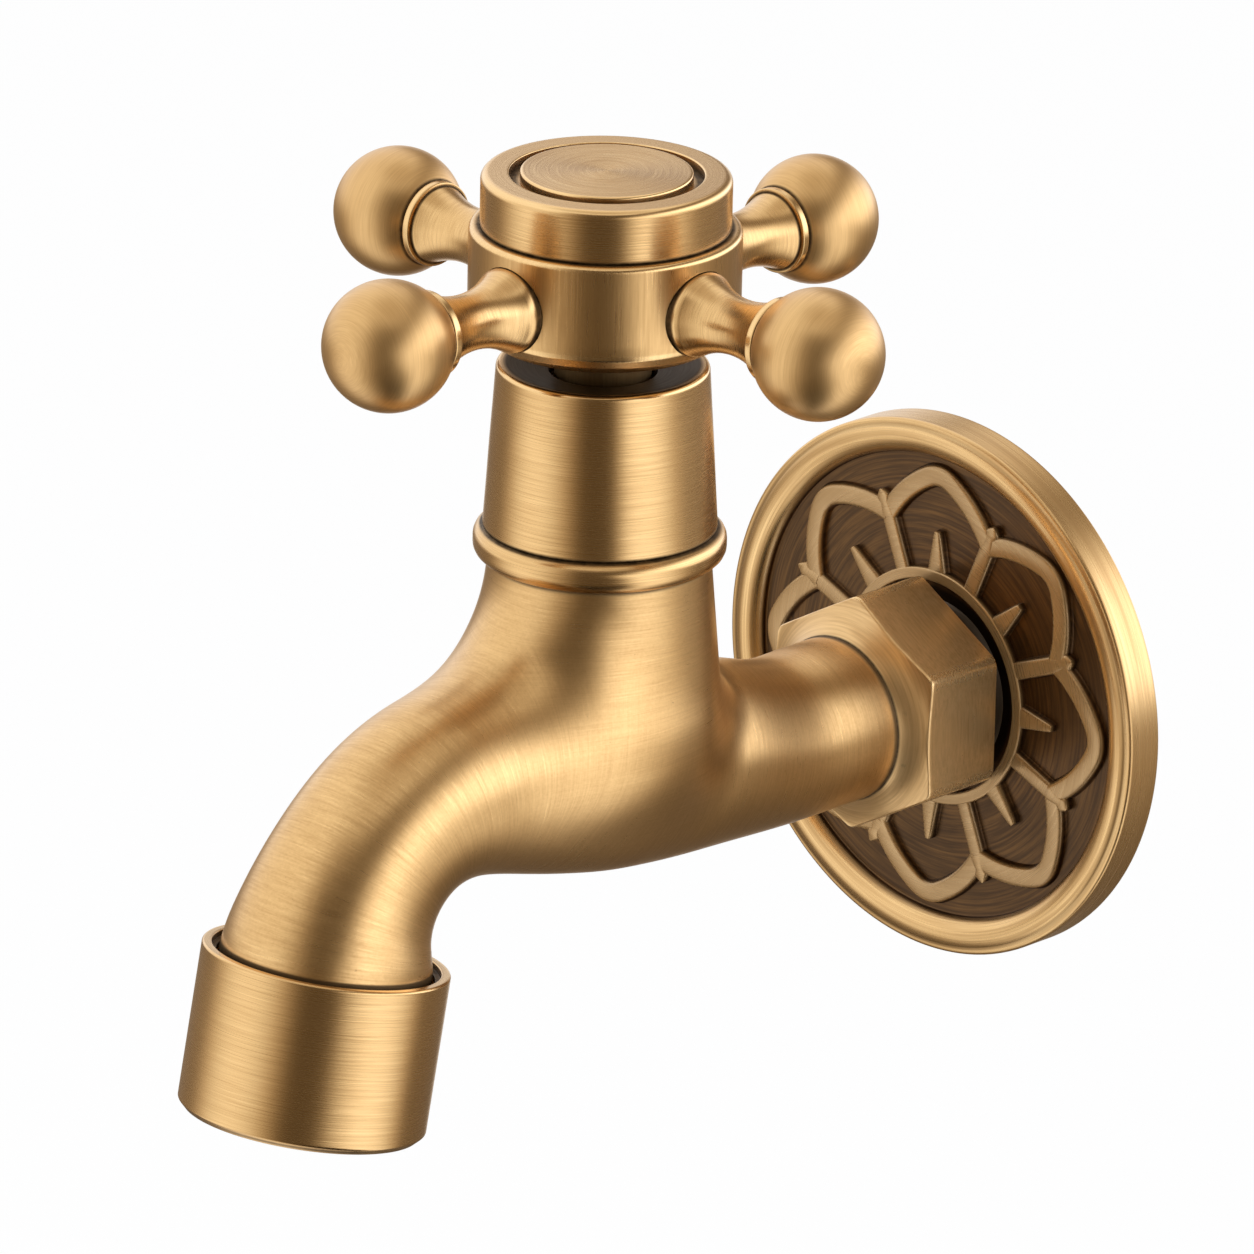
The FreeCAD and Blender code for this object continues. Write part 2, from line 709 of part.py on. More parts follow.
def add_neck(body):
    """Conical neck that swells to the hips and closes in a round bottom."""
    sketch = new_sketch(body, "neck_profile", "XZ", depth="handle_reach")
    top = Vector(number("neck_top_radius"), number("neck_top_height"), 0)
    hip = Vector(number("hip_radius"), number("hip_height"), 0)
    head = Vector(0, top.y, 0)
    slant = (hip - top).normalize()
    centre = hip + Vector(slant.y, -slant.x, 0) * number("hip_curve_radius")
    foot = Vector(0, centre.y - math.sqrt(number("hip_curve_radius") ** 2 - centre.x ** 2), 0)
    lid = sketch.addGeometry(Part.LineSegment(head, top))
    side = sketch.addGeometry(Part.LineSegment(top, hip))
    circle = Part.Circle(centre, Vector(0, 0, 1), number("hip_curve_radius"))
    bowl = sketch.addGeometry(Part.ArcOfCircle(circle, circle.parameter(foot), circle.parameter(hip)))
    core = sketch.addGeometry(Part.LineSegment(foot, head))
    for first, start, second, end in ((lid, 2, side, 1), (bowl, 1, core, 1), (core, 2, lid, 1)):
        sketch.addConstraint(Sketcher.Constraint("Coincident", first, start, second, end))
    sketch.addConstraint(Sketcher.Constraint("Tangent", side, 2, bowl, 2))
    place_point(sketch, lid, 1, "0", "neck_top_height")
    place_point(sketch, side, 1, "neck_top_radius", "neck_top_height")
    place_point(sketch, side, 2, "hip_radius", "hip_height")
    sketch.addConstraint(Sketcher.Constraint("PointOnObject", bowl, 1, -2))
    tie = sketch.addConstraint(Sketcher.Constraint("Radius", bowl, number("hip_curve_radius")))
    sketch.setExpression(f"Constraints[{tie}]", formula("hip_curve_radius"))
    feature = body.newObject("PartDesign::Revolution", "neck")
    feature.Profile = sketch
    feature.ReferenceAxis = (sketch, ["V_Axis"])
    feature.Angle = 360
    return feature


def blend_neck(body, base):
    """Round the valley where the turned neck meets the lofted tube."""
    def valley(edge):
        kinds = {type(face.Surface).__name__ for face in base.Shape.ancestorsOfType(edge, Part.Face)}
        lofted = "BSplineSurface" in kinds
        return lofted and bool(kinds & {"Cone", "Toroid", "Sphere", "SurfaceOfRevolution"})
    return dress_edges(body, "neck_blend", "Fillet", base, edges_where(base.Shape, valley),
                       "neck_blend_radius")


def waterway_sections():
    """Stations of the outlet passage from the valve chamber down the spout."""
    stations = [
        ("handle_reach + chamber_radius / 2", "seat_height + passage_rise", "0", "passage_radius"),
        ("handle_reach + passage_mouth_reach", "seat_height + passage_mouth_rise", "0",
         "passage_mouth_radius"),
        ("crest_out", "crest_height", "waterway_pitch", "waterway_radius"),
    ]
    # each station of the bend by its share of the turn
    bend = [
        (0.4, "waterway_radius"),
        (0.75, "(waterway_radius + outlet_bore_radius) / 2"),
        (1.0, "outlet_bore_radius"),
    ]
    for share, radius in bend:
        turn = f"(bend_turn * {share})"
        stations.append((f"crest_out + spout_bend_radius * sin({turn})",
                         f"bend_height + spout_bend_radius * cos({turn})", turn, radius))
    return stations


def add_outlet_thread(body):
    """Threaded stub below the spout's shoulder, and the bore through it."""
    shoulder = new_sketch(body, "spout_shoulder", "XY", out="-rim_out", height="rim_height",
                          pitch="90 + bend_turn")
    add_circle(shoulder, "0", "0", "spout_end_radius")
    pad(body, "spout_end", shoulder, "spout_entry")
    stub = new_sketch(body, "outlet_stub", "XY", out="-rim_out", height="rim_height",
                      pitch="90 + bend_turn")
    add_circle(stub, "0", "0", "outlet_thread_radius")
    return pad(body, "outlet_thread", stub, "outlet_thread_end")


def build_body_casting():
    """Hollow brass body: inlet pipe, neck for the headwork, seat, chamber and spout."""
    body = new_body("body_casting")
    add_neck(body)
    tube = loft(body, "tube", "AdditiveLoft", tube_sections())
    doc.recompute()
    blend_neck(body, tube)
    add_outlet_thread(body)
    doc.recompute()
    turned(body, "inlet_socket", [
        ("0", "-(hex_front - fit_gap)"),
        ("0", "-(handle_reach + inlet_bore_radius)"),
        ("inlet_bore_radius", "-(handle_reach + inlet_bore_radius)"),
        ("inlet_bore_radius", "-(spigot_end + socket_floor_gap)"),
        ("socket_radius", "-(spigot_end + socket_floor_gap)"),
        ("socket_radius", "-(hex_front - fit_gap)"),
    ], plane="XY", cut=True)
    turned(body, "valve_chamber", [
        ("0", "neck_top_height + fit_gap"),
        ("0", "0"),
        ("seat_hole_radius", "0"),
        ("seat_hole_radius", "seat_height"),
        ("chamber_radius", "seat_height"),
        ("chamber_radius", "neck_thread_bottom - (chamber_radius - neck_bore_radius)"),
        ("neck_bore_radius", "neck_thread_bottom"),
        ("neck_bore_radius", "neck_top_height + fit_gap"),
    ], cut=True, depth="handle_reach")
    loft(body, "waterway", "SubtractiveLoft", waterway_sections())
    bore = new_sketch(body, "outlet_bore_circle", "XY", out="-rim_out", height="rim_height",
                      pitch="90 + bend_turn")
    add_circle(bore, "0", "0", "outlet_bore_radius")
    outlet_bore = pocket(body, "outlet_bore", bore, "outlet_thread_end + fit_gap", reversed_way=True)
    doc.recompute()
    rim = circle_edges(outlet_bore.Shape, "z", number("neck_top_radius"), number("neck_top_height"))
    dress_edges(body, "neck_edge", "Chamfer", outlet_bore, rim, "neck_edge_chamfer")
    return body


# ---------------------------------------------------------------- headwork


def build_cartridge_body():
    """Brass headwork: slotted sleeve, neck thread, hexagon and stem housing in one piece."""
    body = new_body("cartridge_body", out="handle_reach")
    turned(body, "turning", [
        ("disc_bore_radius", "sleeve_bottom"),
        ("sleeve_radius", "sleeve_bottom"),
        ("sleeve_radius", "neck_thread_bottom"),
        ("headwork_thread_radius", "neck_thread_bottom"),
        ("headwork_thread_radius", "neck_top_height"),
        ("headwork_flange_radius", "neck_top_height"),
        ("headwork_flange_radius", "neck_top_height + headwork_flange_height"),
        ("headwork_neck_radius", "neck_top_height + headwork_flange_height"),
        ("headwork_neck_radius", "bonnet_thread_bottom"),
        ("bonnet_thread_radius", "bonnet_thread_bottom"),
        ("bonnet_thread_radius", "headwork_top"),
        ("shaft_bore_radius", "headwork_top"),
        ("shaft_bore_radius", "sleeve_shoulder"),
        ("disc_bore_radius", "sleeve_shoulder"),
    ])
    flats = new_sketch(body, "hexagon", "XY", depth="neck_top_height + headwork_flange_height")
    add_outline(flats, hexagon("headwork_hex_width"))
    add_circle(flats, "0", "0", "headwork_neck_radius - fit_gap")
    pad(body, "hex", flats, "headwork_hex_height")
    window = new_sketch(body, "window_outline", "XZ", depth="-(sleeve_radius + cut_margin)")
    low, high = "moving_disc_bottom", "moving_disc_bottom + window_height"
    add_outline(window, [
        ("-window_width / 2", low),
        ("window_width / 2", low),
        ("window_width / 2", high),
        ("-window_width / 2", high),
    ])
    pocket(body, "windows", window, "2 * (sleeve_radius + cut_margin)", reversed_way=True)
    notch = new_sketch(body, "lug_slot_outline", "YZ", depth="-(sleeve_radius + cut_margin)")
    half_slot = "lug_width / 2 + fit_gap"
    add_outline(notch, [
        (f"-({half_slot})", "sleeve_bottom - cut_margin"),
        (half_slot, "sleeve_bottom - cut_margin"),
        (half_slot, "moving_disc_bottom"),
        (f"-({half_slot})", "moving_disc_bottom"),
    ])
    slots = pocket(body, "lug_slots", notch, "2 * (sleeve_radius + cut_margin)", reversed_way=True)
    half_groove = "neck_seal_section / 2 + fit_gap"
    seal_height = neck_seal_height()
    turned(body, "neck_seal_groove", [
        ("headwork_thread_radius - neck_seal_section", f"{seal_height} - ({half_groove})"),
        ("headwork_thread_radius + cut_margin", f"{seal_height} - ({half_groove})"),
        ("headwork_thread_radius + cut_margin", f"{seal_height} + ({half_groove})"),
        ("headwork_thread_radius - neck_seal_section", f"{seal_height} + ({half_groove})"),
    ], cut=True)
    return body


def neck_seal_height():
    """Height of the O-ring that seals the headwork in the neck."""
    return "neck_top_height - neck_seal_section"


def build_cartridge_o_ring():
    """Rubber ring that seals the headwork in the neck."""
    body = new_body("cartridge_o_ring", out="handle_reach")
    section = "neck_seal_section / 2"
    turned_circle(body, "ring", f"neck_bore_radius - {section} - fit_gap / 2", neck_seal_height(),
                  f"{section} - fit_gap / 2")
    return body


def stem_seal_heights():
    """Heights of the two O-rings on the spindle."""
    lower = "headwork_hex_top + stem_seal_section"
    return [lower, f"{lower} + stem_seal_pitch"]


def spline_outline(radius):
    """Toothed round outline: crests at the radius, valleys one tooth depth below it."""
    vertices = []
    corners = 2 * int(SIZES["spline_count"])
    for index in range(corners):
        reach = f"({radius})" if index % 2 == 0 else f"({radius} - spline_depth)"
        turn = 360.0 * index / corners
        vertices.append((f"{reach} * cos({turn})", f"{reach} * sin({turn})"))
    return vertices


def build_spindle():
    """Quarter-turn spindle: tang, thrust flange, sealed shaft and splined head with a tapped hole."""
    body = new_body("spindle", out="handle_reach")
    turned(body, "shaft", [
        ("0", "drive_bottom"),
        ("drive_radius", "drive_bottom"),
        ("drive_radius", "glide_bottom"),
        ("shaft_radius", "glide_bottom"),
        ("shaft_radius", "spline_bottom"),
        ("shaft_radius - 2 * spline_depth", "spline_bottom"),
        ("shaft_radius - 2 * spline_depth", "spindle_top"),
        ("0", "spindle_top"),
    ])
    teeth = new_sketch(body, "spline_outline", "XY", depth="spline_bottom")
    add_outline(teeth, spline_outline("shaft_radius - fit_gap"))
    pad(body, "spline", teeth, "spindle_top - spline_bottom")
    tang = new_sketch(body, "tang_outline", "XY", depth="drive_bottom - tang_depth")
    add_outline(tang, tang_corners("-fit_gap"))
    pad(body, "tang", tang, "tang_depth + fit_gap")
    hole = new_sketch(body, "screw_hole_circle", "XY", depth="spindle_top")
    add_circle(hole, "0", "0", "screw_radius + fit_gap")
    pocket(body, "screw_hole", hole, "screw_length")
    for index, height in enumerate(stem_seal_heights(), start=1):
        half_groove = "stem_seal_section / 2 + fit_gap"
        floor = "shaft_radius - stem_seal_section + fit_gap"
        turned(body, f"seal_groove_{index}", [
            (floor, f"{height} - ({half_groove})"),
            ("shaft_radius + cut_margin", f"{height} - ({half_groove})"),
            ("shaft_radius + cut_margin", f"{height} + ({half_groove})"),
            (floor, f"{height} + ({half_groove})"),
        ], cut=True)
    turned(body, "clip_groove", [
        ("shaft_radius - clip_groove", "clip_bottom - fit_gap"),
        ("shaft_radius + cut_margin", "clip_bottom - fit_gap"),
        ("shaft_radius + cut_margin", "clip_bottom + clip_thickness + fit_gap"),
        ("shaft_radius - clip_groove", "clip_bottom + clip_thickness + fit_gap"),
    ], cut=True)
    return body


def tang_corners(gap):
    """Bar across the axis that drives the moving disc."""
    half_width = f"tang_width / 2 + {gap}"
    half_length = f"port_radius + {gap}"
    return [
        (f"-({half_length})", f"-({half_width})"),
        (half_length, f"-({half_width})"),
        (half_length, half_width),
        (f"-({half_length})", half_width),
    ]


def build_spindle_o_rings():
    """Two rubber rings on the spindle, one node of two separate solids."""
    rings = []
    for index, height in enumerate(stem_seal_heights(), start=1):
        ring = doc.addObject("Part::Torus", f"stem_ring_{index}")
        ring.setExpression("Radius1", formula("shaft_bore_radius - stem_seal_section / 2"))
        ring.setExpression("Radius2", formula("stem_seal_section / 2 - fit_gap / 2"))
        ring.setExpression("Placement.Base.y", "-sizes.handle_reach")
        ring.setExpression("Placement.Base.z", formula(height))
        rings.append(ring)
    group = doc.addObject("Part::Compound", "spindle_o_rings")
    group.Label = "spindle_o_rings"
    group.Links = rings
    return group


def build_retaining_clip():
    """Open spring clip in the spindle groove above the stem housing."""
    body = new_body("retaining_clip", out="handle_reach")
    ring = new_sketch(body, "clip_outline", "XY", depth="clip_bottom")
    add_circle(ring, "0", "0", "clip_radius")
    add_circle(ring, "0", "0", "shaft_radius - clip_groove + fit_gap")
    pad(body, "clip", ring, "clip_thickness")
    mouth = new_sketch(body, "clip_mouth", "XY", depth="clip_bottom - fit_gap")
    add_outline(mouth, [
        ("-clip_mouth / 2", "-(clip_radius + cut_margin)"),
        ("clip_mouth / 2", "-(clip_radius + cut_margin)"),
        ("clip_mouth / 2", "0"),
        ("-clip_mouth / 2", "0"),
    ])
    pocket(body, "mouth", mouth, "clip_thickness + 2 * fit_gap", reversed_way=True)
    return body


def build_glide_washer():
    """Low-friction washer between the spindle flange and the housing shoulder."""
    body = new_body("glide_washer", out="handle_reach")
    turned(body, "washer", [
        ("shaft_bore_radius + fit_gap", "glide_bottom"),
        ("drive_radius", "glide_bottom"),
        ("drive_radius", "glide_bottom + glide_height"),
        ("shaft_bore_radius + fit_gap", "glide_bottom + glide_height"),
    ])
    return body


def port_outline(middle):
    """Fan-shaped water port about the direction `middle` in degrees."""
    low, high = f"({middle} - port_angle)", f"({middle} + port_angle)"
    return [
        (f"port_radius * cos({low})", f"port_radius * sin({low})"),
        (f"port_radius * cos({high})", f"port_radius * sin({high})", "port_radius"),
        (f"port_hub_radius * cos({high})", f"port_hub_radius * sin({high})"),
        (f"port_hub_radius * cos({low})", f"port_hub_radius * sin({low})", "-port_hub_radius"),
    ]


def build_disc(label, bottom, height, radius, port_middle):
    """Ceramic disc with two opposite fan ports."""
    body = new_body(label, out="handle_reach")
    face = new_sketch(body, "face", "XY", depth=bottom)
    add_circle(face, "0", "0", radius)
    add_outline(face, port_outline(port_middle))
    add_outline(face, port_outline(port_middle + 180))
    pad(body, "disc", face, height)
    return body


def build_fixed_disc():
    """Lower disc, held from turning by two lugs in the sleeve slots."""
    radius = "disc_bore_radius - disc_side_gap"
    body = build_disc("fixed_disc", "fixed_disc_bottom", "fixed_disc_height", radius, 0)
    for name, side in (("left", -1), ("right", 1)):
        lug = new_sketch(body, f"lug_outline_{name}", "XY", depth="fixed_disc_bottom")
        inner = f"{side} * ({radius} - lug_root)"
        outer = f"{side} * sleeve_radius"
        corners = [
            (inner, "-lug_width / 2"),
            (outer, "-lug_width / 2"),
            (outer, "lug_width / 2"),
            (inner, "lug_width / 2"),
        ]
        add_outline(lug, corners if side > 0 else corners[::-1])
        pad(body, f"lug_{name}", lug, "fixed_disc_height")
    return body


def build_moving_disc():
    """Upper disc, turned by the spindle tang; closed while its ports lie across the lower ones."""
    radius = "disc_bore_radius - 2 * disc_side_gap"
    body = build_disc("moving_disc", "moving_disc_bottom", "moving_disc_height", radius, 90)
    slot = new_sketch(body, "slot_outline", "XY", depth="drive_bottom")
    add_outline(slot, tang_corners("fit_gap"))
    pocket(body, "drive_slot", slot, "tang_depth + fit_gap")
    return body


def build_seat_seal():
    """Rubber lip seal between the lower disc and the seat in the casting."""
    body = new_body("seat_seal", out="handle_reach")
    outer = "disc_bore_radius - disc_side_gap"
    turned(body, "seal", [
        ("seat_hole_radius + seal_bore_gap", "seal_bottom"),
        (f"{outer} - seal_chamfer", "seal_bottom"),
        (outer, "seal_bottom + seal_chamfer"),
        (outer, "fixed_disc_bottom"),
        ("port_radius + seal_bore_gap", "fixed_disc_bottom"),
    ])
    return body


# ---------------------------------------------------------------- collar ring and shroud


def build_collar_ring():
    """Turned bead between the neck and the shroud, with a full round outer edge."""
    body = new_body("collar_ring", out="handle_reach")
    inner = "headwork_flange_radius + joint_gap"
    bead = turned(body, "bead", [
        (inner, "neck_top_height"),
        ("ring_bead_radius", "neck_top_height"),
        ("ring_bead_radius", "shroud_bottom"),
        (inner, "shroud_bottom"),
    ])
    doc.recompute()
    radius = number("ring_bead_radius")
    edges = circle_edges(bead.Shape, "z", radius, number("neck_top_height"))
    edges += circle_edges(bead.Shape, "z", radius, number("shroud_bottom"))
    dress_edges(body, "full_round", "Fillet", bead, edges, "(ring_bead_height - ring_bead_flat) / 2")
    return body


def build_bonnet_shroud():
    """Tapered hollow cover, threaded on the headwork, with a dished crown round the handle boss."""
    body = new_body("bonnet_shroud", out="handle_reach")
    inner_taper = "(shroud_bottom_radius - shroud_top_radius) / shroud_height * shroud_crown"
    shell = turned(body, "shell", [
        ("shroud_bottom_radius - shroud_wall", "shroud_bottom"),
        ("shroud_bottom_radius", "shroud_bottom"),
        ("shroud_top_radius", "shroud_top"),
        ("shroud_top_radius - shroud_lip", "shroud_top"),
        ("boss_hole_radius", "shroud_top - shroud_dish"),
        ("boss_hole_radius", "headwork_top + clip_thickness + 2 * joint_gap"),
        ("bonnet_bore_radius", "headwork_top + clip_thickness + 2 * joint_gap"),
        ("bonnet_bore_radius", "shroud_crown_bottom"),
        (f"shroud_top_radius + {inner_taper} - shroud_wall", "shroud_crown_bottom"),
    ])
    doc.recompute()
    edges = circle_edges(shell.Shape, "z", number("shroud_top_radius"), number("shroud_top"))
    dress_edges(body, "crown_round", "Fillet", shell, edges, "shroud_edge_round")
    return body


# ---------------------------------------------------------------- cross handle


def build_handle_hub():
    """Hub with a splined bore, lower boss, cap recess and four arm sockets."""
    body = new_body("handle_hub", out="handle_reach")
    barrel = turned(body, "barrel", [
        ("0", "boss_bottom"),
        ("boss_radius", "boss_bottom"),
        ("boss_radius", "hub_bottom"),
        ("hub_base_radius", "hub_bottom"),
        ("hub_radius", "hub_bottom + hub_base_rise"),
        ("hub_radius", "hub_top"),
        ("hub_recess_radius", "hub_top"),
        ("hub_recess_radius", "hub_recess_floor"),
        ("0", "hub_recess_floor"),
    ])
    doc.recompute()
    radius = number("hub_radius")
    shoulder = circle_edges(barrel.Shape, "z", radius, number("hub_top"))
    top_round = dress_edges(body, "shoulder", "Fillet", barrel, shoulder, "hub_top_round")
    doc.recompute()
    base = circle_edges(top_round.Shape, "z", radius, number("hub_bottom + hub_base_rise"))
    dress_edges(body, "base_round", "Fillet", top_round, base, "hub_base_round")
    bore = new_sketch(body, "spline_bore_outline", "XY", depth="boss_bottom")
    add_outline(bore, spline_outline("shaft_radius"))
    pocket(body, "spline_bore", bore, "spline_top - boss_bottom", reversed_way=True)
    hole = new_sketch(body, "screw_clearance", "XY", depth="hub_recess_floor")
    add_circle(hole, "0", "0", "screw_radius + joint_gap")
    pocket(body, "screw_hole", hole, "hub_web + fit_gap")
    arm_height = "hub_bottom + arm_height_in_hub"
    seat = new_sketch(body, "arm_seat_circle", "YZ", depth="arm_root_floor")
    add_circle(seat, "0", arm_height, "arm_root_radius + fit_gap")
    arm_seat = pocket(body, "arm_seat", seat, "hub_radius", reversed_way=True)
    socket = new_sketch(body, "arm_socket_circle", "YZ", depth="arm_spigot_end - joint_gap")
    add_circle(socket, "0", arm_height, "arm_spigot_radius + fit_gap")
    arm_socket = pocket(body, "arm_socket", socket, "hub_radius", reversed_way=True)
    polar_copies(body, "arm_sockets", [arm_seat, arm_socket], bore, "N_Axis", str(len(ARM_TURNS)))
    return body


def build_arm(side, turn):
    """Arm of the cross: spigot, root seated in the hub, drawn-in waist, collar and knob stud."""
    body = new_body(f"arm_{side}", out="handle_reach", height="arm_height", turn=turn)
    shoulder = "hub_radius + arm_shoulder"
    turned(body, "turning", [
        ("arm_spigot_end", "0"),
        ("arm_collar_end + stud_length", "0"),
        ("arm_collar_end + stud_length", "stud_radius"),
        ("arm_collar_end", "stud_radius"),
        ("arm_collar_end", "arm_collar_radius"),
        ("arm_collar_start", "arm_collar_radius"),
        ("arm_collar_start", "arm_flare_radius"),
        (shoulder, "arm_root_radius", "-arm_waist_curve"),
        ("arm_root_floor", "arm_root_radius"),
        ("arm_root_floor", "arm_spigot_radius"),
        ("arm_spigot_end", "arm_spigot_radius"),
    ], plane="XY", axis="H_Axis")
    return body


def build_knob(side, turn):
    """Ball knob, flat where it meets the collar and drilled for the stud."""
    body = new_body(f"knob_{side}", out="handle_reach", height="arm_height", turn=turn)
    turned(body, "ball", [
        ("knob_reach - knob_flat", "stud_radius + fit_gap"),
        ("knob_reach - knob_flat + stud_length + joint_gap", "stud_radius + fit_gap"),
        ("knob_reach - knob_flat + stud_length + joint_gap", "0"),
        ("knob_reach + knob_radius", "0"),
        ("knob_reach - knob_flat", "sqrt(knob_radius ^ 2 - knob_flat ^ 2)", "knob_radius"),
    ], plane="XY", axis="H_Axis")
    return body


def build_hub_cap_ring():
    """Ring on top of the hub with a spigot below and a seat for the index disc."""
    body = new_body("hub_cap_ring", out="handle_reach")
    skirt_floor = "index_seat - skirt_depth - joint_gap"
    ring = turned(body, "ring", [
        ("cap_bore_radius", "hub_top - cap_spigot_height"),
        ("hub_recess_radius - fit_gap", "hub_top - cap_spigot_height"),
        ("hub_recess_radius - fit_gap", "hub_top"),
        ("cap_radius", "hub_top"),
        ("cap_radius", "cap_top"),
        ("cap_groove_radius", "cap_top"),
        ("cap_groove_radius", "index_seat"),
        ("skirt_radius + fit_gap", "index_seat"),
        ("skirt_radius + fit_gap", skirt_floor),
        ("cap_bore_radius", skirt_floor),
    ])
    doc.recompute()
    edges = circle_edges(ring.Shape, "z", number("cap_radius"), number("cap_top"))
    dress_edges(body, "edge_round", "Fillet", ring, edges, "cap_edge_round")
    return body


def build_index_disc():
    """Plain push-in disc that hides the handle screw."""
    body = new_body("index_disc", out="handle_reach")
    top = "index_seat + index_thickness"
    disc = turned(body, "disc", [
        ("0", "index_seat"),
        ("skirt_radius - skirt_wall", "index_seat"),
        ("skirt_radius - skirt_wall", "index_seat - skirt_depth"),
        ("skirt_radius", "index_seat - skirt_depth"),
        ("skirt_radius", "index_seat"),
        ("index_radius", "index_seat"),
        ("index_radius", top),
        ("0", top),
    ])
    doc.recompute()
    edges = circle_edges(disc.Shape, "z", number("index_radius"), number(top))
    dress_edges(body, "edge_round", "Fillet", disc, edges, "index_edge_round")
    return body


def build_handle_screw():
    """Slotted pan-head screw that holds the handle on the spindle."""
    body = new_body("handle_screw", out="handle_reach")
    tip = "spindle_top - screw_length + 2 * joint_gap"
    head_top = "hub_recess_floor + screw_head_height"
    turned(body, "turning", [
        ("0", tip),
        ("screw_radius", tip),
        ("screw_radius", "hub_recess_floor"),
        ("screw_head_radius", "hub_recess_floor"),
        ("screw_head_radius", "hub_recess_floor + screw_head_height / 2"),
        ("0", head_top, "screw_crown_radius"),
    ])
    slot = new_sketch(body, "slot_outline", "XY", depth=head_top)
    add_outline(slot, [
        ("-(screw_head_radius + cut_margin)", "-screw_slot / 2"),
        ("screw_head_radius + cut_margin", "-screw_slot / 2"),
        ("screw_head_radius + cut_margin", "screw_slot / 2"),
        ("-(screw_head_radius + cut_margin)", "screw_slot / 2"),
    ])
    pocket(body, "slot", slot, "screw_head_height / 2")
    return body


# ---------------------------------------------------------------- nozzle and aerator


def nozzle_body(label):
    """A sub-part of the nozzle; its own -Z runs down the tilted outlet from the rim."""
    return new_body(label, out="rim_out", height="rim_height", axis=Vector(1, 0, 0), turn="-spout_tilt")


def build_nozzle_collar():
    """Wide sleeve that screws on the outlet and carries the aerator on its bottom lip."""
    body = nozzle_body("nozzle_collar")
    sleeve = turned(body, "sleeve", [
        ("nozzle_radius - nozzle_rim_wall", "0"),
        ("nozzle_radius - nozzle_rim_wall", "-nozzle_rim_depth"),
        ("nozzle_entry_radius", "-nozzle_rim_depth"),
        ("nozzle_entry_radius", "-nozzle_entry_depth"),
        ("insert_bore_radius", "-nozzle_entry_depth"),
        ("insert_bore_radius", "-lip_face"),
        ("nozzle_lip_radius", "-lip_face"),
        ("nozzle_lip_radius", "-nozzle_length"),
        ("nozzle_radius", "-nozzle_length"),
        ("nozzle_radius", "0"),
    ])
    doc.recompute()
    edges = circle_edges(sleeve.Shape, "z", number("nozzle_radius"), -number("nozzle_length"))
    dress_edges(body, "foot", "Chamfer", sleeve, edges, "nozzle_foot_chamfer")
    return body


def build_aerator_washer():
    """Flat rubber washer between the outlet end and the aerator housing."""
    body = nozzle_body("aerator_washer")
    turned(body, "washer", [
        ("outlet_bore_radius", "-insert_top"),
        ("insert_radius", "-insert_top"),
        ("insert_radius", "-washer_top"),
        ("outlet_bore_radius", "-washer_top"),
    ])
    return body


def build_aerator_housing():
    """Plastic cup of the aerator with a flange under the washer."""
    body = nozzle_body("aerator_housing")
    turned(body, "cup", [
        ("insert_inner_radius", "-insert_top"),
        ("insert_inner_radius", "-lip_face"),
        ("insert_radius - aerator_relief", "-lip_face"),
        ("insert_radius - aerator_relief", "-(insert_top + aerator_rim_height)"),
        ("insert_radius", "-(insert_top + aerator_rim_height)"),
        ("insert_radius", "-insert_top"),
    ])
    return body


def build_diffuser_plate():
    """Plate with a circle of jet holes."""
    body = nozzle_body("diffuser_plate")
    face = new_sketch(body, "face", "XY", depth="-(diffuser_top + diffuser_height)")
    add_circle(face, "0", "0", "insert_inner_radius - fit_gap")
    pad(body, "plate", face, "diffuser_height")
    jet = new_sketch(body, "jet_circle", "XY", depth="-diffuser_top")
    add_circle(jet, "diffuser_hole_circle", "0", "diffuser_hole_radius")
    hole = pocket(body, "jet", jet, "diffuser_height + fit_gap")
    polar_copies(body, "jets", [hole], jet, "N_Axis", "diffuser_hole_count")
    return body


def build_outlet_grid():
    """Square grid that straightens the stream, held in a thin rim."""
    body = nozzle_body("outlet_grid")
    outer = "(insert_inner_radius - fit_gap)"
    turned(body, "rim", [
        (f"{outer} - grid_rim", "-lip_face"),
        (f"{outer} + fit_gap", "-lip_face"),
        (f"{outer} + fit_gap", "-grid_top"),
        (f"{outer} - grid_rim", "-grid_top"),
    ])
    count = 2 * int(number(f"({outer} - grid_rim) / grid_pitch")) + 1
    span = f"{count - 1} * grid_pitch"
    for way in ("across", "along"):
        sketch = new_sketch(body, f"bar_{way}_outline", "XY", depth="-lip_face")
        low, high = f"-({span} + grid_bar) / 2", f"-({span} - grid_bar) / 2"
        corners = [(f"-{outer}", low), (outer, low), (outer, high), (f"-{outer}", high)]
        if way == "along":
            corners = [(up, across) for across, up in corners][::-1]
        add_outline(sketch, corners)
        bar = pad(body, f"bar_{way}", sketch, "grid_height")
        row = body.newObject("PartDesign::LinearPattern", f"bars_{way}")
        row.Originals = [bar]
        row.Direction = (sketch, ["V_Axis" if way == "across" else "H_Axis"])
        row.setExpression("Length", formula(span))
        row.Occurrences = count
        body.Tip = row
    turned(body, "rim_trim", [
        (outer, "-(lip_face + fit_gap)"),
        (f"{outer} * sqrt(2)", "-(lip_face + fit_gap)"),
        (f"{outer} * sqrt(2)", "-(grid_top - fit_gap)"),
        (outer, "-(grid_top - fit_gap)"),
    ], cut=True)
    return body


# ---------------------------------------------------------------- assembly


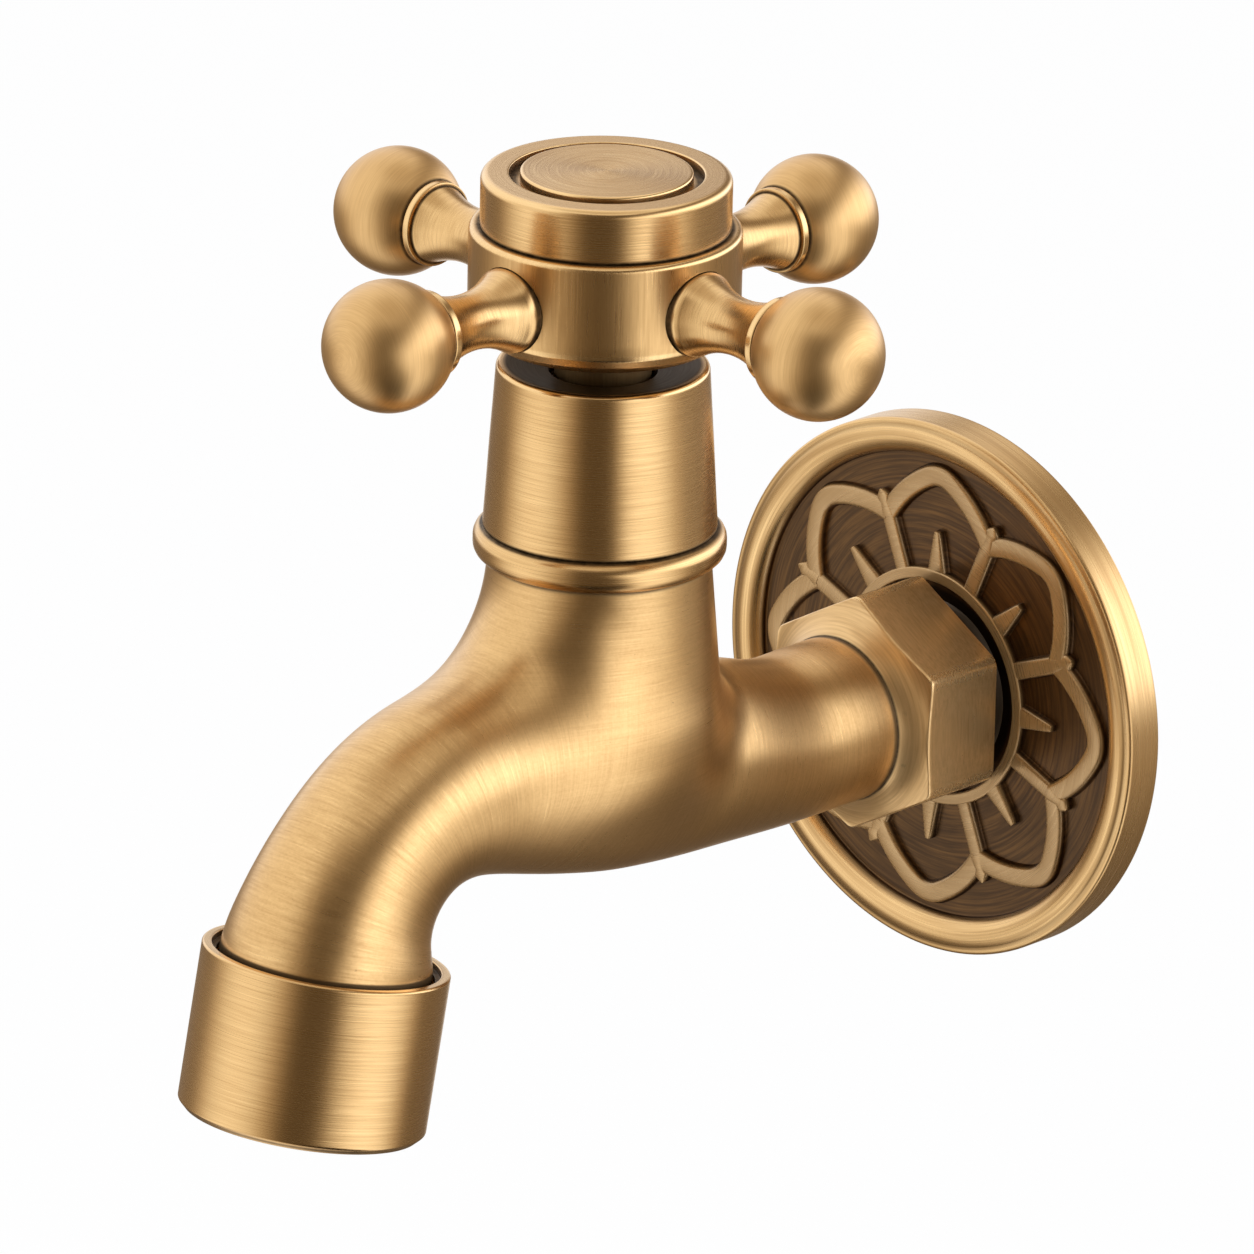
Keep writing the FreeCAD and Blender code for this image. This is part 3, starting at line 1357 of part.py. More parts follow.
def build_parts():
    parts = [
        build_wall_flange(),
        build_inlet_tailpiece(),
        build_inlet_o_ring(),
        build_body_casting(),
        build_cartridge_body(),
        build_cartridge_o_ring(),
        build_spindle(),
        build_spindle_o_rings(),
        build_retaining_clip(),
        build_glide_washer(),
        build_fixed_disc(),
        build_moving_disc(),
        build_seat_seal(),
        build_collar_ring(),
        build_bonnet_shroud(),
        build_handle_hub(),
        build_hub_cap_ring(),
        build_index_disc(),
        build_handle_screw(),
        build_nozzle_collar(),
        build_aerator_washer(),
        build_aerator_housing(),
        build_diffuser_plate(),
        build_outlet_grid(),
    ]
    for side, turn in ARM_TURNS.items():
        parts.append(build_arm(side, turn))
        parts.append(build_knob(side, turn))
    return parts


def check_document(parts):
    """Stop on any failed feature or any sub-part that isn't a sound solid."""
    for item in doc.Objects:
        if "Invalid" in item.State or "Error" in item.State:
            raise RuntimeError(f"{item.Label} failed: {item.State}")
    for part in parts:
        shape = part.Shape
        wanted = 2 if part.TypeId == "Part::Compound" else 1
        if shape.isNull() or not shape.isValid() or len(shape.Solids) != wanted:
            raise RuntimeError(f"{part.Label} isn't {wanted} sound solid")


def write_parts(parts):
    os.makedirs("parts", exist_ok=True)
    for part in parts:
        part.Shape.exportStep(f"parts/{part.Label}.step")
        print(f"{part.Label}: {len(part.Shape.Solids)} solid, {part.Shape.Volume:.1f} mm3")


fill_sheet()
finished = build_parts()
doc.recompute()
check_document(finished)
write_parts(finished)
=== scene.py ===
import math

import bmesh
import bpy
import numpy as np
from mathutils import Matrix, Vector


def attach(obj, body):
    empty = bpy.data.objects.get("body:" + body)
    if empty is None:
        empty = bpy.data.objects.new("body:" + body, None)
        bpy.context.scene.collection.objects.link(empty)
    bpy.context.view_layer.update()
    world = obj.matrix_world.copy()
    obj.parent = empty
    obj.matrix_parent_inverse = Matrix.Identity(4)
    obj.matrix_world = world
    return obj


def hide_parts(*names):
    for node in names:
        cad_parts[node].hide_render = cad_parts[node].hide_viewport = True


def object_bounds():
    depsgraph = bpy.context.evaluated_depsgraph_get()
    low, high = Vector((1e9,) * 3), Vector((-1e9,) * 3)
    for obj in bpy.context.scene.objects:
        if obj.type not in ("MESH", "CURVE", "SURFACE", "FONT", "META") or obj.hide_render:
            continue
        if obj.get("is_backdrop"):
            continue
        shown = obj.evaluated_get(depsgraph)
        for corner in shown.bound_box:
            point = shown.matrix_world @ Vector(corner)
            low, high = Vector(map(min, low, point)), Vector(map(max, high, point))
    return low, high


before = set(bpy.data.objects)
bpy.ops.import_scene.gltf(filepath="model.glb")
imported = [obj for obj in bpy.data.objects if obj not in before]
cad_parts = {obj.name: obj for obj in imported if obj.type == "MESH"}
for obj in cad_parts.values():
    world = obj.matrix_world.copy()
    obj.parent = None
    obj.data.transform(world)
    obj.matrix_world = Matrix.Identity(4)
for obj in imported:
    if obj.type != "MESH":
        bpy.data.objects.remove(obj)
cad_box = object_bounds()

# A wall-mounted tap with a cross handle. Sizes are in millimetres and are scaled to metres
# when a mesh is made. The origin is on the wall, on the inlet axis; +Z is up and the spout
# reaches out along -Y. The outline of a turned piece is a list of corners: radius, level
# along its own axis and, where the corner is eased, the size of the easing.

MM = 0.001
FULL_TURN = 2 * math.pi

# ---------------------------------------------------------------- sizes

# Main axes: OUT is away from the wall, UP is above the inlet axis.
HANDLE_OUT = 61.45
ARM_UP = 64.55
TILT = math.radians(11.3)
CREST_OUT, CREST_UP = 84.55, 8.5
BEND = 20.5
BEND_TURN = math.pi / 2 - TILT
RIM_OUT = CREST_OUT + BEND * math.sin(BEND_TURN)
RIM_UP = CREST_UP - BEND + BEND * math.cos(BEND_TURN)
SIDES = {"front": -90, "right": 0, "back": 90, "left": 180}

# Wall flange: a hollow plate with a moulded rim round a sunk field.
FLANGE_R = 33.5
FLANGE_BORE_R = 10.9
OUTER_WALL, BORE_WALL = 2.2, 2.6
BACK_HOLLOW = 1.8
RIM_WIDTH, RIM_LEDGE, RIM_LIP = 4.4, 4.9, 0.9
FIELD_R = FLANGE_R - RIM_WIDTH
FIELD_LEVEL = 3.25
MOULD_FOOT, MOULD_CURVE = 0.5, 2.4
FIELD_RINGS = (24.0, 20.0, 16.0)

# Flower relief in the field: petals, spikes and budded spokes round a ring.
PETALS = 8
RELIEF = 1.0
SUNK_FOOT = 0.03
PETAL_LINE, SPOKE_LINE, RING_LINE = 2.2, 1.9, 1.5
RING_R = 14.1
FIELD_MARGIN = 1.2
PETAL_TIP_R = FIELD_R - FIELD_MARGIN - PETAL_LINE / 2
VALLEY_R = PETAL_TIP_R - 5.1
SIDE_CURVE, TIP_CURVE = 16.0, 4.0
SPIKE_R = VALLEY_R - 1.9
SPIKE_FOOT, SPIKE_TIP, SPIKE_END = 2.6, 1.0, 0.6
SPOKE_R = VALLEY_R + 0.6
# A bud on the spoke, as rise past the valley and width, and half a ribbon's profile, as share
# of its width and of its height.
BUD = ((-0.4, 1.9), (0.5, 1.6), (1.3, 1.2), (1.65, 1.55), (2.0, 1.9), (2.35, 1.5), (2.7, 0.9), (3.0, 0.3))
RIBBON_SHOULDER = [(0.7, 0.0), (0.65, 0.12), (0.62, 0.3), (0.59, 0.58), (0.55, 0.8), (0.47, 0.94),
                   (0.34, 1.0)]

# Inlet tailpiece: threaded tail behind a hexagon with a flared front.
PIPE_R = 10.1
WATERWAY_R = 5.6
HEX_BACK, HEX_FRONT, HEX_HALF = 6.6, 20.6, 13.0
HEX_CORNER = HEX_HALF * 2 / math.sqrt(3)
HEX_SHARPNESS = 46.0
FLARE_CURVE, FLARE_DEPTH = 6.6, 2.83
TAIL_NECK_R, TAIL_NECK_END = 9.6, 0.3
TAIL_LEN, TAIL_END_R = 13.0, 9.4
THREAD_R, THREAD_PITCH, THREAD_LEN, THREAD_DEPTH = 10.48, 1.814, 12.6, 0.95

# Body casting: a bent tube blended with a turned neck.
NECK_TOP, NECK_R = 31.05, 13.1
HIP_R, HIP_UP, HIP_CURVE = 14.6, 14.0, 17.0
BLEND, FRONT_BLEND = 4.6, 8.4
# Middle line of the tube up to the crest, as out, up and radius, and round the bend, as the
# share of the bend and the radius.
TUBE_STATIONS = (
    (17.0, 0.0, PIPE_R), (HEX_FRONT, 0.0, PIPE_R), (26.1, 0.0, PIPE_R), (31.6, 0.0, PIPE_R),
    (46.85, 2.365, 11.675), (HANDLE_OUT, 4.3, 12.2), (72.08, 6.7, 12.2), (CREST_OUT, CREST_UP, 11.45),
)
BEND_RADII = ((0.33, 10.7), (0.62, 10.7), (0.84, 11.55), (1.0, 12.4))
TUBE_SPARE = 3
STUB_BORE_R, STUB_R, STUB_LEN = 8.8, 11.0, 9.0
OUTLET_CUT = 1.2

# Bead ring and shroud on the neck.
BEAD_BORE_R, BEAD_R, BEAD_ROUND = 11.55, 14.85, 1.84
SHROUD_UP, SHROUD_TOP = 34.8, 54.65
SHROUD_R, SHROUD_TOP_R, SHROUD_MOUTH_R = 13.75, 12.45, 12.45
SHROUD_TAPER = [(13.4, 40.0), (13.1, 45.0), (12.75, 50.0)]
SHROUD_LIP_R, SHROUD_DISH = 11.25, 53.8
STEM_HOLE_R = 6.35
HEADWORK_R, HEADWORK_TOP = 7.5, 53.05
SHROUD_BORE_R, SHROUD_BORE_TOP = 11.55, 48.65

# Hub, cap ring and index disc of the handle.
HUB_UP, HUB_TOP, HUB_R = 57.5, 71.4, 15.9
HUB_STEM_R = 5.65
HUB_FOOT = [(11.9, HUB_UP, 0.4), (13.2, 57.9, 0.5), (14.9, 59.0, 0.8), (15.75, 60.1, 0.7)]
HUB_WALL_UP, HUB_WALL_TOP = 61.5, 70.2
HUB_POCKET_R, HUB_POCKET_UP = 9.2, 67.0
CAP_R, CAP_MIDDLE, CAP_TOP = 14.6, 74.5, 77.75
CAP_BORE_R, CAP_SPIGOT_R, CAP_SPIGOT_UP = 7.8, 9.15, 69.9
CAP_MOUTH_R, CAP_LEDGE_UP = 11.3, 76.7
CAP_SEAT_R, CAP_SEAT_UP = 8.85, 73.75
DISC_R, DISC_TOP = 10.05, 78.05
DISC_RINGS = (7.0, 4.0, 1.0)
DISC_SKIRT_R, DISC_SKIRT_WALL, DISC_SKIRT_UP = 8.8, 1.0, 74.1

# Arms and knobs, measured out from the handle's axis.
SEAT_OUT, SEAT_END, SEAT_R = 14.4, 20.0, 5.12
TENON_OUT, TENON_R = 10.3, 3.0
ARM_OUT, ARM_R, ARM_ROOT = 14.45, 5.0, 15.8
WAIST_START, WAIST_LEN, WAIST_R, WAIST_END_R = 16.2, 11.4, 3.35, 4.6
COLLAR_OUT, COLLAR_END, COLLAR_R = 27.7, 28.72, 5.1
PEG_R, PEG_END = 2.0, 33.5
KNOB_FACE, KNOB_OUT, KNOB_R = 28.75, 34.55, 7.68
KNOB_BORE_R, KNOB_BORE_END = 2.05, 33.9

# Nozzle sleeve, measured along the outlet's axis from its upper rim.
SLEEVE_R, SLEEVE_CHAMFER, SLEEVE_END = 14.55, 0.8, -19.65
SLEEVE_MOUTH_R, SLEEVE_MOUTH = 13.4, -0.8
SLEEVE_SHOULDER_R, SLEEVE_SHOULDER = 12.75, -3.6
SLEEVE_BORE_R, SLEEVE_BORE_END = 11.05, -17.9
OUTLET_R = 9.4

# Where a turned piece's own axis stands: local z is the axis it was turned on.
UPRIGHT = Matrix.Translation((0, -HANDLE_OUT, 0))
OUTWARD = Matrix(((1, 0, 0, 0), (0, 0, -1, 0), (0, 1, 0, 0), (0, 0, 0, 1)))
NOZZLE = Matrix.Translation((0, -RIM_OUT, RIM_UP)) @ Matrix.Rotation(-TILT, 4, "X")


def arm_place(degrees):
    """Local z runs out along an arm from the handle's axis."""
    turn = Matrix.Rotation(math.radians(degrees), 4, "Z") @ Matrix.Rotation(math.pi / 2, 4, "Y")
    return Matrix.Translation((0, -HANDLE_OUT, ARM_UP)) @ turn


# ---------------------------------------------------------------- nodes


def feed(tree, socket, value):
    """Give a node's socket a link or a value."""
    if isinstance(value, Wire):
        value = value.socket
    if isinstance(value, bpy.types.NodeSocket):
        tree.links.new(value, socket)
    elif value is not None:
        socket.default_value = value


class Wire:
    """A shader socket that takes part in Python sums by adding Math nodes."""

    def __init__(self, web, socket):
        self.web, self.socket = web, socket

    def math(self, operation, *others):
        return self.web.add("Math", {"operation": operation}, self, *others)

    def __add__(self, other):
        return self.math("ADD", other)

    __radd__ = __add__

    def __mul__(self, other):
        return self.math("MULTIPLY", other)

    __rmul__ = __mul__

    def __sub__(self, other):
        return self.math("SUBTRACT", other)

    def __rsub__(self, other):
        return self.web.add("Math", {"operation": "SUBTRACT"}, other, self)

    def __truediv__(self, other):
        return self.math("DIVIDE", other)

    def __rtruediv__(self, other):
        return self.web.add("Math", {"operation": "DIVIDE"}, other, self)

    def __pow__(self, other):
        return self.math("POWER", other)

    def __abs__(self):
        return self.math("ABSOLUTE")

    def step(self, low, high):
        """Smooth step from 0 at low to 1 at high."""
        settings = {"interpolation_type": "SMOOTHSTEP"}
        if low < high:
            return self.web.add("MapRange", settings, self, low, high, 0.0, 1.0)
        return self.web.add("MapRange", settings, self, high, low, 1.0, 0.0)


class Web:
    """The node tree of one material or of the world."""

    def __init__(self, tree):
        self.tree = tree
        tree.nodes.clear()

    def add(self, kind, settings=None, *values, out=0, **named):
        """A node with its settings made first, then its sockets given values or links."""
        node = self.tree.nodes.new("ShaderNode" + kind)
        for key, value in (settings or {}).items():
            setattr(node, key, value)
        for index, value in enumerate(values):
            feed(self.tree, node.inputs[index], value)
        for name, value in named.items():
            feed(self.tree, node.inputs[name.replace("_", " ")], value)
        return Wire(self, node.outputs[out]) if node.outputs else None

    def mix(self, factor, first, second):
        """Colour mix; a Mix node keeps its colour sockets at 6, 7 and 2."""
        node = self.add("Mix", {"data_type": "RGBA"}, factor, out=2).socket.node
        feed(self.tree, node.inputs[6], first)
        feed(self.tree, node.inputs[7], second)
        return Wire(self, node.outputs[2])

    def combine(self, x, y, z):
        return self.add("CombineXYZ", None, x, y, z)

    def split(self, vector):
        node = self.add("SeparateXYZ", None, vector).socket.node
        return [Wire(self, socket) for socket in node.outputs]

    def noise(self, vector, scale, detail=3.0, rough=0.55, w=0.0):
        """Noise from 0 to 1 round 0.5; w is a fourth coordinate, or a number that sets it apart."""
        return self.add("TexNoise", {"noise_dimensions": "4D"}, Vector=vector, W=w, Scale=scale,
                        Detail=detail, Roughness=rough)

    def local(self, place):
        """Object coordinates in the piece's own frame, in millimetres."""
        spot, turn, _ = place.decompose()
        coords = self.add("TexCoord", None, out=3)
        return self.add("Mapping", {"vector_type": "TEXTURE"}, coords, spot * MM, turn.to_euler(), (MM,) * 3)


def grow(a, b):
    """The larger of two masks."""
    return b if a is None else a.math("MAXIMUM", b)


def round_axis(x, y, radius, sweep):
    """Where a point stands round the axis, whatever its radius; sweep is how fast this changes."""
    clear = radius + 0.001
    return x / clear * sweep, y / clear * sweep


def rgb(red, green, blue):
    """A display colour written 0-255, as the shader's linear colour."""
    def linear(value):
        value /= 255
        return value / 12.92 if value <= 0.04045 else ((value + 0.055) / 1.055) ** 2.4
    return (linear(red), linear(green), linear(blue), 1.0)


# ---------------------------------------------------------------- finishes

BRASS_LIGHT = rgb(240, 202, 142)
BRASS_MID = rgb(218, 175, 113)
BRASS_DEEP = rgb(168, 124, 68)
# The two patina colours darken seams, scratches and pits, and also serve as painted shade: at the rim's foot,
# inside the flange's ring, and under and behind pieces.
PATINA_AND_SHADE = rgb(62, 42, 24)
DEEP_PATINA_AND_SHADE = rgb(26, 17, 10)
FIELD_DARK, FIELD_WARM, FIELD_PATCH = rgb(80, 56, 30), rgb(118, 84, 45), rgb(66, 46, 25)

COAT, COAT_ROUGH = 0.2, 0.3
BUMP_SHARE, BUMP_HEIGHT = 0.45, 0.025
# Turns the stretched highlight by a quarter, across the brushing.
ACROSS = 0.25
CLOUD_TONE, CLOUD_GLOSS = 0.6, 0.1
BRUSH_TONE, BRUSH_GLOSS = 1.4, 0.3


def new_material(name):
    material = bpy.data.materials.new(name)
    material.use_nodes = True
    return material, Web(material.node_tree)


def finish_brass(web, colour, rough, height, aniso=0.0, turned=ACROSS, metal=0.98, coat=COAT):
    """Brass surface from its colour, roughness and brushed relief."""
    relief = web.add("Bump", None, Strength=BUMP_SHARE, Distance=BUMP_HEIGHT * MM, Height=height)
    surface = web.add("BsdfPrincipled", None, Base_Color=colour, Metallic=metal, Roughness=rough,
                      Anisotropic=aniso, Anisotropic_Rotation=turned, Coat_Weight=coat,
                      Coat_Roughness=COAT_ROUGH, Normal=relief)
    web.add("OutputMaterial", None, surface)


def ring_mask(radius, height, rings, core):
    """Soft mask round turned seams or edges, each (radius, height, width)."""
    mask = None
    for ring_radius, ring_height, width in rings:
        dr, dh = radius - ring_radius, height - ring_height
        gap = (dr * dr + dh * dh) ** 0.5
        mask = grow(mask, gap.step(width, width * core))
    return mask


def turned_brass(name, place, seams=(), wear_and_highlight=(), lines=8.0, sweep=1.5, tint=0.6, rough=0.26,
                 along=False, aniso=0.35, marks=0.8, metal=0.98, shadow=None, painted_highlight=None):
    """Antique brass brushed round its turning axis, dark in its seams and lighter on its edges.

    lines sets how fine the brushing is, marks how strongly it shows and tint how brown the
    brass is. With along, the brushing runs along the axis. The listed edges are lighter both
    from rubbing and as a painted highlight; two further masks from radius and height paint
    shade (shadow) and a highlight on edges.
    """
    material, web = new_material(name)
    local = web.local(place)
    x, y, height = web.split(local)
    radius = (x * x + y * y) ** 0.5
    round_x, round_y = round_axis(x, y, radius, sweep)
    if along:
        rows = web.combine(x * lines * 0.5, y * lines * 0.5, height * 0.12)
        brush = web.noise(rows, 1.0, 3.0, 0.6)
        broad = web.noise(rows, 0.32, 2.0, 0.5, w=7.0)
    else:
        rows = web.combine(round_x, round_y, height * lines)
        brush = web.noise(rows, 1.0, 2.0, 0.6, w=radius * lines)
        broad = web.noise(rows, 0.35, 1.0, 0.5, w=radius * lines * 0.35 + 11.0)
    cloud = web.noise(local, 0.11, w=3.0)
    shade = web.mix((cloud - 0.5) * CLOUD_TONE + tint, BRASS_LIGHT, BRASS_MID)
    shade = web.mix(((brush - 0.5) * BRUSH_TONE + (broad - 0.5) * 0.2) * marks + 0.3, shade, BRASS_DEEP)
    around = web.combine(round_x, round_y, 0.0)
    scratch = web.noise(around, 3.0, 2.0, 0.5, w=(height + radius) * 9.0).step(0.70, 0.78)
    shade = web.mix(scratch * 0.35, shade, PATINA_AND_SHADE)
    gloss = (brush - 0.5) * BRUSH_GLOSS * marks + (cloud - 0.5) * CLOUD_GLOSS + rough
    coat = COAT
    # Lighter brass on edges: partly rubbing, partly a painted highlight; the extra mask is painted highlight
    # only.
    edge = ring_mask(radius, height, wear_and_highlight, 0.35)
    if painted_highlight:
        edge = grow(edge, painted_highlight(radius, height))
    if edge:
        shade = web.mix(edge * 0.55, shade, BRASS_LIGHT)
        gloss = gloss - edge * 0.08
    # Painted shade from the shadow mask, joined by the dark seams; both are mixed towards deep patina below.
    dark = shadow(radius, height) if shadow else None
    if seams:
        grime = web.noise(local, 0.9, 3.0, 0.6, w=5.0)
        seam = ring_mask(radius, height, seams, 0.25) * (grime * 0.7 + 0.6)
        dark = grow(dark, seam.math("MINIMUM", 1.0) * 0.9)
    if dark:
        shade = web.mix(dark, shade, DEEP_PATINA_AND_SHADE)
        gloss = gloss + dark * 0.3
        coat = COAT - dark * COAT
    relief = (brush + broad * 0.1) * marks
    finish_brass(web, shade, gloss, relief, aniso, 0.0 if along else ACROSS, metal, coat)
    return material


def plain_finish(name, colour, rough, metallic, grain=1.5, bump=0.01):
    """Even finish with a fine grain: seals, plastic, steel and ceramic."""
    material, web = new_material(name)
    local = web.local(UPRIGHT)
    speck = web.noise(local, grain, 3.0, 0.6)
    cloud = web.noise(local, 0.2, 2.0, 0.5, w=4.0)
    dark = tuple(c * 0.72 for c in colour[:3]) + (1.0,)
    shade = web.mix(speck * 0.5 + cloud * 0.4 - 0.1, colour, dark)
    relief = web.add("Bump", None, Strength=0.3, Distance=bump * MM, Height=speck)
    surface = web.add("BsdfPrincipled", None, Base_Color=shade, Metallic=metallic,
                      Roughness=(speck - 0.5) * 0.16 + rough, Normal=relief)
    web.add("OutputMaterial", None, surface)
    return material


def casting_brass():
    """Cast body: fine brushing across the spout and round the neck, dark where other pieces meet it."""
    lines, sweep, rough = 7.0, 2.6, 0.32
    material, web = new_material("casting_brass")
    local = web.local(UPRIGHT)
    x, y, height = web.split(local)
    radius = (x * x + y * y) ** 0.5
    along, round_x, round_y = web.split(web.add("Attribute", {"attribute_name": "flow"}, out=1))
    on_neck = web.add("Attribute", {"attribute_name": "on_neck"}, out=2)
    across = web.combine(round_x * sweep, round_y * sweep, along * lines)
    turned = web.combine(*round_axis(x, y, radius, sweep), height * lines)

    def both(scale, detail, roughness, w):
        """A noise that lies across the tube and turns over to run round the neck."""
        tube = web.noise(across, scale, detail, roughness, w)
        neck = web.noise(turned, scale, detail, roughness, w)
        return tube + (neck - tube) * on_neck

    brush = both(1.0, 4.0, 0.62, 0.0)
    broad = both(0.25, 2.0, 0.5, 8.0)
    grain = web.noise(local, 3.2, 3.0, 0.6, w=2.0)
    cloud = web.noise(local, 0.07, 3.0, 0.5, w=3.0)
    shade = web.mix((cloud - 0.5) * CLOUD_TONE + 0.7, BRASS_LIGHT, BRASS_MID)
    streaks = (brush - 0.5) * 1.05 + (broad - 0.5) * 0.3 + (grain - 0.5) * 0.45
    shade = web.mix(streaks + 0.32, shade, BRASS_DEEP)
    pit = web.noise(local, 1.3, 2.0, 0.5, w=9.0).step(0.74, 0.8)
    shade = web.mix(pit * 0.3, shade, PATINA_AND_SHADE)
    end = web.split(web.local(NOZZLE))[2]
    wall = web.split(web.local(OUTWARD))[2]
    dark = grow(height.step(NECK_TOP - 0.75, NECK_TOP - 0.15), end.step(0.4, 0.1))
    dark = grow(dark, wall.step(HEX_FRONT + 0.9, HEX_FRONT + 0.15))
    shade = web.mix(dark * 0.8, shade, DEEP_PATINA_AND_SHADE)
    gloss = (brush - 0.5) * BRUSH_GLOSS + (cloud - 0.5) * CLOUD_GLOSS + dark * 0.2 + rough
    finish_brass(web, shade, gloss, brush * 0.7 + grain * 0.35 + broad * 0.1)
    return material


def flange_brass():
    """Flange: brushed rim, dark sunk field with circular streaks, bright tops on the relief.
    Painted shade at the foot of the rim and inside the ring.
    """
    lines, sweep, rough = 4.0, 1.8, 0.29
    top = FIELD_LEVEL + RELIEF
    material, web = new_material("flange_brass")
    local = web.local(OUTWARD)
    x, y, level = web.split(local)
    radius = (x * x + y * y) ** 0.5
    rows = web.combine(*round_axis(x, y, radius, sweep), level * lines)
    brush = web.noise(rows, 1.0, 2.0, 0.6, w=radius * lines)
    broad = web.noise(rows, 0.35, 1.0, 0.5, w=radius * lines * 0.35 + 11.0)
    lay = web.combine(*round_axis(x, y, radius, 2.2), 0.0)
    streak = web.noise(lay, 1.0, 3.0, 0.6, w=radius * 2.6)
    cloud = web.noise(local, 0.12, w=3.0)
    inside = radius.step(FIELD_R + 0.5, FIELD_R - 0.1)
    low = level.step(top - 0.25, top - 0.7)
    dark = inside * low
    marks = 1 - inside * 0.65
    brass = web.mix((cloud - 0.5) * 0.8 + 0.5, BRASS_LIGHT, BRASS_MID)
    streaks = ((brush - 0.5) * BRUSH_TONE + (broad - 0.5) * 0.4) * marks
    brass = web.mix(streaks + 0.28 + inside * 0.08, brass, BRASS_DEEP)
    field = web.mix(streak.step(0.36, 0.7), FIELD_DARK, FIELD_WARM)
    field = web.mix(cloud.step(0.4, 0.7) * 0.35, field, FIELD_PATCH)
    # Painted shade at the foot of the rim's moulding, where it meets the sunk field.
    rim_foot_shade = radius.step(FIELD_R + 1.6, FIELD_R + 0.2) * level.step(FIELD_LEVEL + 1.5, FIELD_LEVEL + 0.5)
    rim_seam = ring_mask(radius, level, [(FLANGE_R - RIM_LIP, RIM_LEDGE, 0.4)], 0.3)
    shade = web.mix(rim_foot_shade * 0.6, brass, PATINA_AND_SHADE)
    shade = web.mix(dark, shade, field)
    shade = web.mix(rim_seam * 0.25, shade, PATINA_AND_SHADE)
    # Painted shade inside the ring, in the gap behind the hexagon.
    shade = web.mix(radius.step(RING_R - 1.2, RING_R - 2.2) * 0.9, shade, DEEP_PATINA_AND_SHADE)
    gloss = (brush - 0.5) * BRUSH_GLOSS + dark * 0.16 + rough
    metal = 0.93 - inside * (1 - low) * 0.35
    finish_brass(web, shade, gloss, (brush + broad * 0.3) * marks + streak * dark * 0.5, metal=metal)
    return material


# ---------------------------------------------------------------- making meshes


def mesh_object(name, points, faces, material, sharp=40):
    """Object at the origin from points in millimetres, welded, closed and facing outwards."""
    mesh = bpy.data.meshes.new(name)
    mesh.from_pydata((np.asarray(points) * MM).tolist(), [], [tuple(map(int, face)) for face in faces])
    obj = bpy.data.objects.new(name, mesh)
    bpy.context.scene.collection.objects.link(obj)
    weld(obj, material, sharp)
    return obj


def weld(obj, material, sharp=40):
    """Merge doubles, drop flat slivers, point faces outwards and shade smooth up to an angle."""
    work = bmesh.new()
    work.from_mesh(obj.data)
    bmesh.ops.remove_doubles(work, verts=work.verts, dist=2e-6)
    bmesh.ops.dissolve_degenerate(work, edges=work.edges, dist=1e-6)
    bmesh.ops.recalc_face_normals(work, faces=work.faces)
    work.to_mesh(obj.data)
    work.free()
    obj.data.shade_smooth()
    obj.data.set_sharp_from_angle(angle=math.radians(sharp))
    obj.data.materials.clear()
    obj.data.materials.append(material)


def grid_faces(rows, columns, closed):
    """Quads between the rows of a grid that wraps round along its columns."""
    faces = []
    for row in range(rows if closed else rows - 1):
        low, high = row * columns, ((row + 1) % rows) * columns
        for column in range(columns):
            after = (column + 1) % columns
            faces.append((low + column, low + after, high + after, high + column))
    return faces


def headings(path):
    """Unit direction of a path at each of its points."""
    ahead = np.gradient(path, axis=0)
    return ahead / np.linalg.norm(ahead, axis=1)[:, None]


def wrap(name, radii, levels, place, material, closed=True, sharp=40):
    """Surface from rings of radii and levels, (rings x segments), round the local z axis."""
    rings, segments = radii.shape
    angle = np.linspace(0, FULL_TURN, segments, endpoint=False)
    points = np.stack([radii * np.cos(angle), radii * np.sin(angle), levels], -1).reshape(-1, 3)
    matrix = np.array(place)
    points = points @ matrix[:3, :3].T + matrix[:3, 3]
    return mesh_object(name, points, grid_faces(rings, segments, closed), material, sharp)


def eased(corners, closed=True, steps=5):
    """Outline points with each corner's easing made an arc and a narrow flat kept on both sides."""
    points = []
    for index, corner in enumerate(corners):
        here = Vector(corner[:2])
        ease = corner[2] if len(corner) > 2 else 0.0
        at_end = not closed and index in (0, len(corners) - 1)
        if ease <= 0 or at_end:
            points.append(here)
            continue
        back = Vector(corners[index - 1][:2]) - here
        ahead = Vector(corners[(index + 1) % len(corners)][:2]) - here
        half = back.angle(ahead) / 2
        reach = min(ease / math.tan(half), back.length * 0.45, ahead.length * 0.45)
        radius = reach * math.tan(half)
        middle = here + (back.normalized() + ahead.normalized()).normalized() * (radius / math.sin(half))
        first = here + back.normalized() * reach
        last = here + ahead.normalized() * reach
        points.append(first + back.normalized() * flat_beside(back.length - reach))
        for step in range(steps + 1):
            ray = (first - middle).lerp(last - middle, step / steps).normalized() * radius
            points.append(middle + ray)
        points.append(last + ahead.normalized() * flat_beside(ahead.length - reach))
    return [(point.x, point.y) for point in points]


def flat_beside(spare):
    """Width of the flat beside an easing, from the length of the side that is left."""
    return min(0.3, spare) / 2


def lathe(name, corners, place, material, segments=192, closed=True, sharp=40):
    """Turned piece from the eased corners of its outline."""
    outline = np.array(eased(corners, closed))
    radii = outline[:, :1].repeat(segments, 1)
    levels = outline[:, 1:].repeat(segments, 1)
    return wrap(name, radii, levels, place, material, closed, sharp)


def settle(piece, body, slot, *nodes):
    """The piece rides on its body and stands for its CAD nodes, which are hidden; slot is not used."""
    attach(piece, body)
    if nodes:
        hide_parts(*nodes)


# ---------------------------------------------------------------- geometry node trees


def plain_mesh(obj):
    """Replace the object's mesh by its evaluated one and drop the modifiers."""
    graph = bpy.context.evaluated_depsgraph_get()
    made = bpy.data.meshes.new_from_object(obj.evaluated_get(graph))
    obj.modifiers.clear()
    obj.data = made


